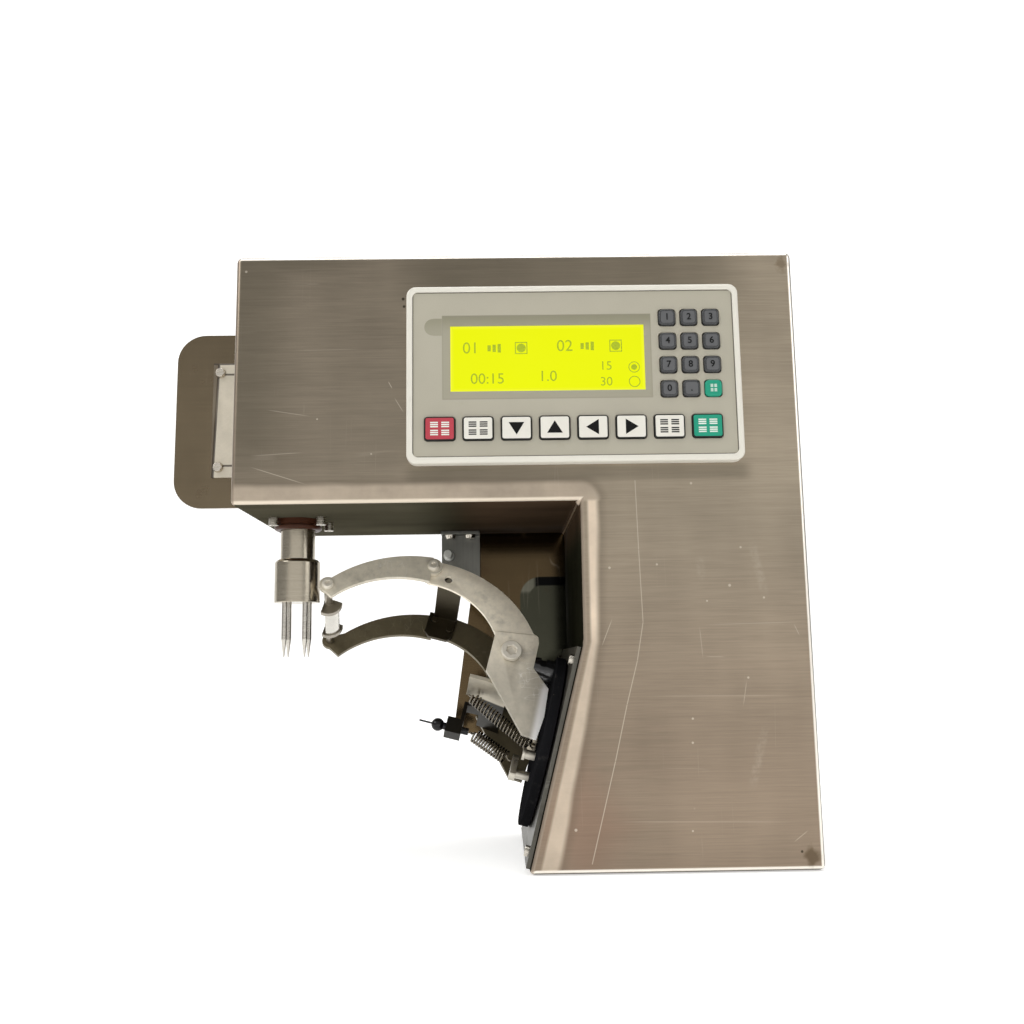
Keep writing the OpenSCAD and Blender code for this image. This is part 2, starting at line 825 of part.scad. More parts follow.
module frame_bolts() {
  color("#b4b1aa") {
    flange_places() translate([0, 0, zu]) cap_bolt(sheet_t + flange_t, bolt_head_h);
    swing_frame() plate_places() translate([0, 0, plate_t]) rotate([180, 0, 0])
      cap_bolt(plate_t + sheet_t + 3, plate_head_h);
  }
}

module spindle_gearbox() {
  color("#8f9194") translate([sx, axis_y, z_tube]) difference() {
    cylinder(d = reducer_d, h = reducer_l);
    translate([0, 0, -1]) cylinder(r = drive_d / 2 + run_gap, h = drive_l + 1.5);
  }
}

module spindle_motor() {
  color("#4a4a4c") translate([sx, axis_y, z_tube + reducer_l]) {
    cylinder(d = motor_d, h = motor_l);
    for (i = [-1, 1]) {
      translate([i * motor_d / 4 - 1.5, -0.4, motor_l - e]) cube([3, 0.8, 5]);
    }
  }
}

module spindle_shaft() {
  color("#c4c2bc") translate([sx, axis_y, 0]) {
    translate([0, 0, z_shaft - tenon_l]) cylinder(d = journal_d, h = tenon_l + e);
    translate([0, 0, z_shaft]) cylinder(d = spindle_d, h = z_in + flange_t / 2 - z_shaft - 0.5);
    translate([0, 0, z_in]) cylinder(d = journal_d, h = flange_t + tube_h - 6);
    translate([0, 0, z_in + flange_t]) cylinder(d = drive_d, h = tube_h + drive_l);
  }
}

module chuck() {
  color("#b8b6b0") translate([sx, axis_y, z_chuck]) difference() {
    union() {
      cylinder(d = chuck_d, h = chuck_h - 1.5);
      translate([0, 0, chuck_h - 1.5]) cylinder(d1 = chuck_d, d2 = chuck_d - 3, h = 1.5);
    }
    translate([0, 0, chuck_h - tenon_l]) cylinder(d = journal_d, h = tenon_l + 1);
    for (i = [0:prong_n - 1]) {
      rotate([0, 0, 45 + i * 360 / prong_n]) translate([prong_r, 0, -1])
        cylinder(d = prong_d, h = prong_in + 1);
    }
  }
}

module fruit_fork() {
  color("#cfcdc8") for (i = [0:prong_n - 1]) {
    translate([sx, axis_y, z_chuck]) rotate([0, 0, 45 + i * 360 / prong_n]) translate([prong_r, 0, 0]) {
      translate([0, 0, point_l - prong_l]) cylinder(d = prong_d, h = prong_l - point_l + prong_in);
      translate([0, 0, -prong_l]) cylinder(d1 = 0.6, d2 = prong_d, h = point_l);
    }
  }
}

// Swing drive

module swing_plate() {
  color("#8c8a87") swing_frame() difference() {
    translate([plate_x0, plate_y0, 0]) cube([plate_x1 - plate_x0, plate_y1 - plate_y0, plate_t]);
    translate([0, 0, -1]) cylinder(r = swing_d / 2 + run_gap, h = plate_t + 2);
    plate_places() translate([0, 0, -1]) cylinder(r = bolt_hole_r, h = plate_t + 2);
  }
}

module swing_gearbox() {
  color("#77797c") swing_frame() difference() {
    translate([-gear_w / 2, -gear_w / 2, -sheet_t - gear_d]) cube([gear_w, gear_w, gear_d]);
    translate([0, 0, -sheet_t - gear_in]) cylinder(r = swing_d / 2 + run_gap, h = gear_in + 1);
  }
}

module swing_motor() {
  color("#3f4144") swing_frame() translate([gear_w / 2, 0, -sheet_t - gear_d / 2]) rotate([0, 90, 0]) {
    cylinder(d = swing_motor_d, h = swing_motor_l);
    translate([0, 0, swing_motor_l - e]) cylinder(d = swing_motor_d * 0.55, h = 6);
  }
}

module swing_shaft() {
  color("#a9a7a2") swing_frame() {
    axis_rod(0, 0, swing_d / 2, 0.5 - sheet_t - gear_in, disc_z1);
    axis_rod(0, 0, swing_cap_d / 2, disc_z1, disc_z1 + swing_cap_h);
  }
}

module swing_disc() {
  color("#1d1d1e") arm_frame() difference() {
    axis_rod(0, 0, disc_r, disc_z0, disc_z1);
    axis_rod(0, 0, swing_d / 2, disc_z0 - 1, disc_z1 + 1);
  }
}

module arm_posts() {
  color("#232324") arm_frame() for (s = [-1, 1]) {
    difference() {
      union() {
        axis_rod(pivot_h, s * post_w, post_d / 2, disc_z1, pivot_a + pin_r + 2.5);
        axis_rod(pivot_h, s * post_w, post_d / 2 + 1, disc_z1, disc_z1 + 5);
        axis_rod(pivot_h, s * post_w, post_d / 2 + 1, disc_z1 + 8, disc_z1 + 13);
        arm_rod(pivot_a, pivot_h, pin_r + 2.5, s > 0 ? post_w : hook_gap - arm_in,
          s > 0 ? arm_in - hook_gap : -post_w);
      }
      arm_rod(pivot_a, pivot_h, pin_r, -arm_in, arm_in);
    }
  }
}

module pivot_pin() {
  color("#c9c6bd") arm_frame() difference() {
    union() {
      arm_rod(pivot_a, pivot_h, pin_r, -arm_out - hook_gap - e, arm_out + hook_gap + e);
      arm_rod(pivot_a, pivot_h, pin_head_d / 2, -arm_out - hook_gap - pin_head_h, -arm_out - hook_gap);
      arm_rod(pivot_a, pivot_h, pin_head_d / 2, arm_out + hook_gap, arm_out + hook_gap + pin_head_h);
    }
    translate([pivot_h, -arm_out - hook_gap - pin_head_h - 1, pivot_a]) rotate([-90, 0, 0])
      cylinder(d = pin_head_d / 2, h = 1 + pin_head_h * 0.7, $fn = 6);
  }
}

// upper spring peg, lower spring eye plate
upper_peg_h = -14.5;
eye_mid_h = -15;
eye_half = 7.2;
eye_a0 = disc_z1 + 7.5;
eye_a1 = eye_a0 + 3.4;

module spring_anchors() {
  color("#bdbab2") arm_frame() {
    axis_rod(upper_peg_h, -upper_w, peg_d / 2, disc_z1, disc_z1 + 7);
    axis_rod(upper_peg_h, -upper_w, peg_d / 2 + 1, disc_z1 + 5.5, disc_z1 + 7);
    axis_rod(eye_mid_h - 3, adjust_w, peg_d / 2, disc_z1, eye_a0 + e);
    translate([eye_mid_h, adjust_w, eye_a0]) linear_extrude(eye_a1 - eye_a0) {
      square([2 * eye_half - peg_d, peg_d + 2], center = true);
      for (s = [-1, 1]) {
        translate([s * (eye_half - peg_d / 2 - 1), 0]) circle(d = peg_d + 2);
      }
    }
  }
}

// Arms

// wedge of the drawing seen from the curve's centre, between two angles from the vertical
module wedge(from, to) {
  polygon([[curve_a, curve_h],
    [curve_a + far * sin(from), curve_h + far * cos(from)],
    [curve_a + far * sin(to), curve_h + far * cos(to)]]);
}

module main_arm_drawing(hole_d, shift) {
  difference() {
    union() {
      translate([-shift, 0]) {
        intersection() {
          difference() {
            translate([curve_a, curve_h]) circle(arm_out_r, $fn = 128);
            translate([curve_a + arm_shift_a, curve_h + arm_shift_h]) circle(arm_in_r, $fn = 128);
          }
          wedge(-58, elbow_turn);
        }
        translate([curve_a + mid_r * sin(elbow_turn), curve_h + mid_r * cos(elbow_turn)])
          circle((arm_out_r - arm_in_r - arm_shift_h) / 2 - 0.5);
      }
      polygon([
        [plate_a + plate_fore, plate_h + 11],
        [plate_a - 9.5, plate_h + plate_up],
        [plate_a - plate_aft + 1, plate_h + plate_up - 2.5],
        [plate_a - plate_aft, plate_h + 6.5],
        [plate_a - plate_aft, plate_h - 9],
        [plate_a - heel_aft + 0.8, plate_h - 19],
        [plate_a - heel_aft, plate_h - 35.5],
        [plate_a - heel_aft + 1.6, plate_h - heel_down],
        [plate_a - heel_aft + 1.6 + heel_w, plate_h - heel_down + 0.6],
        [plate_a - 7, plate_h - 37.5],
        [plate_a + plate_fore, plate_h - 16.5]
      ]);
    }
    translate([pivot_a, pivot_h]) circle(pin_r + run_gap);
    translate([elbow_a - shift, elbow_h]) circle(arm_screw_d / 2);
    translate([hole_a - shift, hole_h]) circle(hole_d / 2);
  }
}

// tip arm from the elbow to the blade hinge, its curve nearer the wall by shift and ending at turn
module tip_arm_drawing(shift, turn) {
  ca = curve_a - shift;
  ch = curve_h - tip_sink;
  mid = tip_out_r - tip_band * 0.37;
  root = [ca + mid * sin(40), ch + mid * cos(40)];
  eye = [tip_a, tip_h];
  along = (eye - root) / norm(eye - root);
  side = [-along[1], along[0]] * 2.5;
  difference() {
    union() {
      difference() {
        intersection() {
          translate([ca, ch]) circle(tip_out_r, $fn = 128);
          translate([-shift, -tip_sink]) wedge(elbow_turn, turn);
        }
        translate([ca + tip_shift_a, ch - tip_shift_h]) circle(tip_in_r, $fn = 128);
      }
      polygon([eye + side, eye - side, root - side, root + side]);
      translate([elbow_a - shift, elbow_h]) circle(lug_r);
      translate(eye) circle(eye_r);
    }
    translate([elbow_a - shift, elbow_h]) circle(arm_screw_d / 2);
    translate(eye) circle(arm_screw_d / 2);
  }
}

module front_arm() {
  color("#c8c4ba") arm_frame() arm_solid(-arm_out, -arm_in) main_arm_drawing(elbow_hole_d, 0);
}

module rear_arm() {
  color("#7e7a73") arm_frame() arm_solid(arm_in, arm_out) main_arm_drawing(arm_screw_d, rear_in);
}

module tip_arms() {
  color("#c8c4ba") arm_frame() {
    arm_solid(-tip_out, -arm_out) tip_arm_drawing(0, 59.5);
    arm_solid(arm_out, tip_out) tip_arm_drawing(rear_in, 61);
  }
}

// tab of the cross plate between two places along the arm, down to h0
module cross_tab(a0, a1, h0) {
  h1 = elbow_h + cross_up;
  polygon([[a0, h0 + cross_cut], [a0 + cross_cut, h0], [a1 - cross_cut, h0], [a1, h0 + cross_cut], [a1, h1],
    [a0, h1]]);
}

module cross_plate() {
  a1 = elbow_a + cross_margin;
  a0 = a1 - rear_in - cross_w;
  h1 = elbow_h + cross_up;
  color("#55504a") arm_frame() difference() {
    union() {
      arm_solid(-arm_in, arm_in)
        polygon([[a0, h1 - cross_t], [a0 + cross_web, h1 - cross_t], [a0 + cross_web, h1], [a0, h1]]);
      arm_solid(-arm_in, cross_t - arm_in) cross_tab(a0, a1, elbow_h - cross_front);
      arm_solid(arm_in - cross_t, arm_in) cross_tab(a0, a1 - rear_in, elbow_h - cross_drop);
    }
    arm_rod(elbow_a, elbow_h, arm_screw_d / 2, -arm_gap, 0);
    arm_rod(elbow_a - rear_in, elbow_h, arm_screw_d / 2, 0, arm_gap);
    arm_rod(hole_a, hole_h, elbow_hole_d / 2, -arm_gap, 0);
    arm_rod(hole_a - rear_in, hole_h, arm_screw_d / 2, 0, arm_gap);
  }
}

block_a0 = brace_end;
block_h = -adjust_down;

module arm_brace() {
  bend_a = brace_a + brace_w;
  foot_h = block_h - block_s / 2;
  head_h0 = brace_h - brace_t;
  color("#cfcabf") arm_frame() difference() {
    union() {
      arm_solid(-arm_in, arm_in)
        polygon([[brace_a, head_h0 - 2], [bend_a, head_h0], [bend_a, brace_h], [brace_a, brace_h - 2]]);
      arm_solid(-arm_in, tab_w - arm_in)
        polygon([[bend_a - e, head_h0], [brace_end, head_h0], [brace_end, brace_h], [bend_a - e, brace_h]]);
      arm_solid(adjust_w - block_s / 2, adjust_w + block_s / 2)
        polygon([[bend_a - e, head_h0], [brace_end - brace_t, head_h0], [brace_end - brace_t, foot_h],
          [brace_end, foot_h], [brace_end, brace_h], [bend_a - e, brace_h]]);
      arm_solid(adjust_w - block_s / 2, adjust_w + block_s / 2)
        polygon([[block_a0 - e, foot_h], [block_a0 + block_d, foot_h], [block_a0 + block_d, foot_h + block_s],
          [block_a0 - e, foot_h + block_s]]);
    }
    axis_rod(block_h, adjust_w, adjust_d / 2 + run_gap, brace_end - brace_t - 1, block_a0 + block_d + 1);
  }
}

module flat_screw(l) {
  cylinder(d = arm_screw_d, h = l);
  translate([0, 0, -arm_head_h]) difference() {
    cylinder(d1 = arm_head_d - 1.4, d2 = arm_head_d, h = arm_head_h);
    translate([0, 0, -1]) cylinder(d = arm_screw_d * 0.7, h = 1 + arm_head_h / 2, $fn = 6);
  }
}

module arm_screws() {
  color("#d2cfc6") arm_frame() {
    for (s = [-1, 1]) {
      translate([elbow_h, s * tip_out, elbow_a - (s > 0 ? rear_in : 0)]) rotate([s * 90, 0, 0])
        flat_screw(2 * arm_t + cross_t + 1.2);
      translate([tip_h, s * tip_out, tip_a]) rotate([s * 90, 0, 0]) {
        flat_screw(arm_t);
        cylinder(r = axle_bore / 2 - run_gap, h = arm_t + 8);
      }
    }
    translate([hole_h, arm_out, hole_a - rear_in]) rotate([90, 0, 0])
      cylinder(d = arm_screw_d, h = arm_t + cross_t + 1.2);
  }
}

module spring_adjuster() {
  a_ball = block_a0 + block_d + 1 + ball_d / 2;
  color("#2a2a2b") arm_frame() {
    axis_rod(block_h, adjust_w, adjust_d / 2, brace_end - brace_t - 4, a_ball);
    translate([block_h, adjust_w, a_ball]) sphere(d = ball_d);
    axis_rod(block_h, adjust_w, pointer_d / 2, a_ball, a_ball + ball_d / 2 + pointer_l);
  }
}

// Blade

module blade_holder() {
  half = blade_w / 2;
  color("#9c9993") arm_frame() difference() {
    union() {
      arm_rod(tip_a, tip_h, axle_d / 2, -axle_end, axle_end);
      for (s = [-1, 1]) {
        arm_solid(s > 0 ? half : -half - cheek_t, s > 0 ? half + cheek_t : -half) {
          translate([tip_a, tip_h]) circle(axle_d / 2 + 0.4);
          translate([tip_a, tip_h]) intersection() {
            circle(blade_r + 0.8);
            polygon([[-3, 2], [-far, -40], [-far * 0.3, -far], [2.2, -far], [2.2, 2]]);
          }
        }
      }
    }
    arm_rod(tip_a, tip_h, axle_bore / 2, -axle_end - 1, -axle_end + 9);
    arm_rod(tip_a, tip_h, axle_bore / 2, axle_end - 9, axle_end + 1);
  }
}

module blade() {
  half = blade_w / 2;
  color("#d9d8d4") arm_frame() arm_solid(-half, half) translate([tip_a, tip_h]) intersection() {
    difference() {
      circle(blade_r);
      circle(blade_r - blade_t);
    }
    polygon([[0, 0], [-far, -100], [-far * 0.3, -far], [1.4, -far]]);
  }
}

// Springs: one tube each, rings of six points along a helix whose ends come in to the axis and run straight

sides = 6;
rings = 8;

// centre line of a spring of length l along Z
function spring_line(l, coil, wire, curls) = let(
    lead = 4 * wire,
    rise = (l - 2 * lead) / curls,
    n = rings * curls
  ) concat(
    [[0, 0, 0], [0, 0, wire], [coil * 0.2, 0, lead * 0.6]],
    [for (i = [0:n]) let(t = i * 360 / rings)
      [coil / 2 * cos(t), coil / 2 * sin(t), lead + rise * i / rings]],
    [[coil * 0.2, 0, l - lead * 0.6], [0, 0, l - wire], [0, 0, l]]
  );

function unit(v) = v / norm(v);

function line_dir(q, i) = unit(i == 0 ? q[1] - q[0]
  : i == len(q) - 1 ? q[i] - q[i - 1] : q[i + 1] - q[i - 1]);

// frame carried along the line so that rings never twist
function carry(q, i, u) = let(d = line_dir(q, i)) unit(u - (u * d) * d);

function frames(q) = [for (i = 0, u = carry(q, 0, [0, 1, 0]); i < len(q);
    i = i + 1, u = i < len(q) ? carry(q, i, u) : u) u];

function tube_points(q, r) = let(f = frames(q)) [for (i = [0:len(q) - 1])
    let(d = line_dir(q, i), u = f[i], v = cross(d, u))
    for (k = [0:sides - 1]) q[i] + r * (cos(k * 360 / sides) * u + sin(k * 360 / sides) * v)];

function tube_faces(n) = concat(
    [for (i = [0:n - 2]) for (k = [0:sides - 1]) let(a = i * sides + k, b = i * sides + (k + 1) % sides)
      [a, a + sides, b]],
    [for (i = [0:n - 2]) for (k = [0:sides - 1]) let(a = i * sides + k, b = i * sides + (k + 1) % sides)
      [b, a + sides, b + sides]],
    [for (k = [1:sides - 2]) [0, k, k + 1]],
    [for (k = [1:sides - 2]) let(o = (n - 1) * sides) [o, o + k + 1, o + k]]
  );

// least free gap between turns that are not next to each other along the line
function least_gap(q, wire) = min([for (i = [0:len(q) - 1]) for (j = [i + 5:1:len(q) - 1])
    norm(q[i] - q[j])]) - wire;

// a spring from p to q, given as distance, height and depth
module spring(p, q, coil, wire, curls) {
  d = q - p;
  l = norm(d);
  line = spring_line(l, coil, wire, curls);
  tilt_y = acos(d[2] / l);
  turn_z = atan2(d[1], d[0]);
  translate(p) rotate([0, tilt_y, turn_z])
    polyhedron(points = tube_points(line, wire / 2), faces = tube_faces(len(line)), convexity = 10);
}

// spring ends in the arm frame: height, depth, distance from the wall
upper_p = [brace_h - brace_t - hook_gap - upper_wire, -upper_w, brace_end - 1.5];
upper_q = [upper_peg_h + peg_d / 2 + hook_gap + upper_wire, -upper_w, disc_z1 + 2];
lower_p = [block_h, adjust_w, brace_end - brace_t - 4 - hook_gap - lower_wire / 2];
lower_q = [eye_mid_h + 3.5, adjust_w, eye_a1 + hook_gap + lower_wire / 2];

module upper_spring() {
  color("#a8a69f") arm_frame() spring(upper_p, upper_q, upper_coil, upper_wire, upper_curls);
}

module lower_spring() {
  color("#a8a69f") arm_frame() spring(lower_p, lower_q, lower_coil, lower_wire, lower_curls);
}

upper_line = spring_line(norm(upper_q - upper_p), upper_coil, upper_wire, upper_curls);
lower_line = spring_line(norm(lower_q - lower_p), lower_coil, lower_wire, lower_curls);
echo(upper_spring_gap = least_gap(upper_line, upper_wire));
echo(lower_spring_gap = least_gap(lower_line, lower_wire));

// Sensor, supply and gland

bracket_x = xi - bracket_left;
bracket_y = yb - bracket_fore;
bracket_holes = [bracket_x - bracket_w / 4, bracket_x + bracket_w / 4];
sensor_z = zu - bracket_l * 0.44;
sensor_x = bracket_x - bracket_w * 0.31;

module sensor_bracket() {
  color("#8e8a83") difference() {
    union() {
      translate([bracket_x - bracket_w / 2, bracket_y, zu - bracket_l])
        cube([bracket_w, bracket_t, bracket_l]);
      translate([bracket_x - bracket_w / 2, bracket_y - bracket_foot, zu - bracket_t])
        cube([bracket_w, bracket_t + bracket_foot, bracket_t]);
    }
    rod_y(sensor_x, sensor_z, sensor_d / 2, bracket_y - 1, bracket_y + bracket_t + 1);
    for (x = bracket_holes) {
      translate([x, bracket_y - bracket_foot / 2, zu - bracket_t - 1])
        cylinder(r = hole_r, h = bracket_t + 2);
    }
  }
}

module home_sensor() {
  y0 = bracket_y + bracket_t;
  color("#d9d9d4") {
    rod_y(sensor_x, sensor_z, sensor_d / 2, y0 + 4 - sensor_l, y0 + 4);
    rod_y(sensor_x, sensor_z, sensor_d / 2 + 0.8, bracket_y - 3, bracket_y);
    rod_y(sensor_x, sensor_z, sensor_d / 2 + 0.8, y0, y0 + 3);
  }
}

module power_supply() {
  color("#b5b7b8") translate([xr - sheet_t - supply_w, -supply_d / 2, supply_z])
    cube([supply_w, supply_d, supply_h]);
}

module cable_gland() {
  x = xr - gland_in;
  color("#2b2b2c") difference() {
    union() {
      rod_y(x, gland_z, gland_thread_d / 2, yb - 6, yb + back_t + e);
      rod_y(x, gland_z, gland_d / 2, yb + back_t, yb + back_t + gland_l);
      rod_y(x, gland_z, gland_d / 2, yb - 4, yb);
    }
    rod_y(x, gland_z, gland_thread_d / 3, yb - 7, yb + back_t + gland_l + 1);
  }
}

front_shell();
back_plate();
cover_screws();
clamp_strip();
display_frame();
display_overlay();
lcd_module();
display_box();
bearing_housing();
spindle_bearings();
shaft_seal();
frame_bolts();
spindle_gearbox();
spindle_motor();
spindle_shaft();
chuck();
fruit_fork();
swing_plate();
swing_gearbox();
swing_motor();
swing_shaft();
swing_disc();
arm_posts();
pivot_pin();
spring_anchors();
front_arm();
rear_arm();
tip_arms();
cross_plate();
arm_brace();
arm_screws();
spring_adjuster();
blade_holder();
blade();
upper_spring();
lower_spring();
sensor_bracket();
home_sensor();
power_supply();
cable_gland();
pad_key(0);  // key_1
pad_key(1);  // key_2
pad_key(2);  // key_3
pad_key(3);  // key_4
pad_key(4);  // key_5
pad_key(5);  // key_6
pad_key(6);  // key_7
pad_key(7);  // key_8
pad_key(8);  // key_9
pad_key(9);  // key_0
pad_key(10);  // key_dot
pad_key(11);  // key_enter
row_key(0);  // key_stop
row_key(1);  // key_menu
row_key(2);  // key_down
row_key(3);  // key_up
row_key(4);  // key_left
row_key(5);  // key_right
row_key(6);  // key_set
row_key(7);  // key_start
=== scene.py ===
"""Looks of a bench fruit peeling machine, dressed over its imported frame.

Metres, Z up, X to the right, Y away from the viewer, origin at the middle of the column's foot.
"""

from __future__ import annotations

import json
import logging
import math
from dataclasses import dataclass, field
from enum import Enum
from typing import Callable, Iterable, Sequence, Union

import bmesh
import bpy
from mathutils import Matrix, Vector

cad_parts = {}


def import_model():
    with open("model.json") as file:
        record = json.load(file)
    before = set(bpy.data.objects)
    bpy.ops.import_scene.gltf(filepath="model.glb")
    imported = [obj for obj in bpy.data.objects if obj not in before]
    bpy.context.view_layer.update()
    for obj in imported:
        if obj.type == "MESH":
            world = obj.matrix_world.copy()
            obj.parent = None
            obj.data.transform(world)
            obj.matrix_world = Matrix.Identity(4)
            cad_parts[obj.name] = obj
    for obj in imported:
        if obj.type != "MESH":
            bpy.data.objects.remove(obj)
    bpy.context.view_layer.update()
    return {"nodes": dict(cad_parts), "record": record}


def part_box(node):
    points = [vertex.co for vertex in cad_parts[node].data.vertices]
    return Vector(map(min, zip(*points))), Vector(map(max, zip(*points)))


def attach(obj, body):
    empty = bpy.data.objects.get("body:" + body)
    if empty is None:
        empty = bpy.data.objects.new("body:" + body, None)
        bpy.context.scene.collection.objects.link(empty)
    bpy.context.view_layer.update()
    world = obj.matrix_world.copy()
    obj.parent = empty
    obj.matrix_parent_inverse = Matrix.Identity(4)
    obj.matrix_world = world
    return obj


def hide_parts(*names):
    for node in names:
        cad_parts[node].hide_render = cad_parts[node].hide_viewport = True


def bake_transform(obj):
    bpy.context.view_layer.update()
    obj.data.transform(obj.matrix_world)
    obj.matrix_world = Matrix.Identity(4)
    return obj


LOG = logging.getLogger("peeler")
MM = 0.001
Colour = tuple[float, float, float]
Point = tuple[float, float, float]
Number = Union[float, "Value"]
# place and tilt of the slanted wall that carries the arms
WALL: Point = (-57.379, -6.0, 58.4)
TILT = math.atan(29.0 / 112.0)
# edges that turn less than this are shaded smooth
SMOOTH_DEGREES = 38.0
# faces round a turned shape
TURN_STEPS = 64
# height of fine surface texture in metres
TEXTURE = 0.00002


class Value:
    """A shader socket that takes part in arithmetic."""

    def __init__(self, paint: "NodeTree", socket: bpy.types.NodeSocket) -> None:
        """Keep the node tree and the socket."""
        self.paint = paint
        self.socket = socket

    def _math(self, operation: str, first: Number, second: Number = 0.0) -> "Value":
        """Add one Math node.

        Args:
            operation: the Math node's operation.
            first: its first value or link.
            second: its second value or link.

        Returns:
            The node's result.
        """
        return self.paint.node("ShaderNodeMath", {"operation": operation}, {0: first, 1: second})

    def __add__(self, other: Number) -> "Value":
        """Sum."""
        return self._math("ADD", self, other)

    __radd__ = __add__

    def __sub__(self, other: Number) -> "Value":
        """Difference."""
        return self._math("SUBTRACT", self, other)

    def __rsub__(self, other: Number) -> "Value":
        """Difference from a number."""
        return self._math("SUBTRACT", other, self)

    def __mul__(self, other: Number) -> "Value":
        """Product."""
        return self._math("MULTIPLY", self, other)

    __rmul__ = __mul__

    def __abs__(self) -> "Value":
        """Distance from zero."""
        return self._math("ABSOLUTE", self)

    def over(self, other: Number) -> "Value":
        """The larger of the two."""
        return self._math("MAXIMUM", self, other)

    def under(self, other: Number) -> "Value":
        """The smaller of the two."""
        return self._math("MINIMUM", self, other)

    def root(self) -> "Value":
        """Square root."""
        return self._math("SQRT", self)

    def sway(self, amount: float) -> "Value":
        """Swing about zero, for a value that runs from 0 to 1."""
        return (self - 0.5) * amount

    def rise(self, low: float, high: float) -> "Value":
        """A smooth step.

        Args:
            low: where it leaves 0.
            high: where it reaches 1; a high below low turns the step round.

        Returns:
            The step, held between 0 and 1.
        """
        settings = {"interpolation_type": "SMOOTHSTEP", "clamp": True}
        ends = (0.0, 1.0) if high > low else (1.0, 0.0)
        inputs = {0: self, 1: min(low, high), 2: max(low, high), 3: ends[0], 4: ends[1]}
        return self.paint.node("ShaderNodeMapRange", settings, inputs)


class NodeTree:
    """A node tree under construction."""

    def __init__(self, tree: bpy.types.NodeTree) -> None:
        """Empty the tree."""
        self.tree = tree
        self.tree.nodes.clear()

    def node(
        self, kind: str, settings: dict | None = None, inputs: dict | None = None, out: int | str | None = 0
    ) -> Value | None:
        """Add any node.

        Args:
            kind: the node's type.
            settings: its properties, and a ramp's stops.
            inputs: values or links by socket name or number.
            out: the output to hand back, or none.

        Returns:
            That output, if one is asked for.
        """
        made = self.tree.nodes.new(kind)
        for key, value in (settings or {}).items():
            if key == "stops":
                while len(made.color_ramp.elements) < len(value):
                    made.color_ramp.elements.new(0.5)
                for element, (where, colour) in zip(made.color_ramp.elements, value):
                    element.position = where
                    element.color = (*colour, 1.0)
            else:
                setattr(made, key, value)
        for key, value in (inputs or {}).items():
            if isinstance(value, Value):
                self.tree.links.new(value.socket, made.inputs[key])
            else:
                made.inputs[key].default_value = value
        return None if out is None else Value(self, made.outputs[out])

    def axes(self, vector: Value) -> tuple[Value, Value, Value]:
        """Split a vector.

        Args:
            vector: the vector.

        Returns:
            Its X, Y and Z.
        """
        first = self.node("ShaderNodeSeparateXYZ", None, {0: vector}, 0)
        made = first.socket.node
        return first, Value(self, made.outputs[1]), Value(self, made.outputs[2])


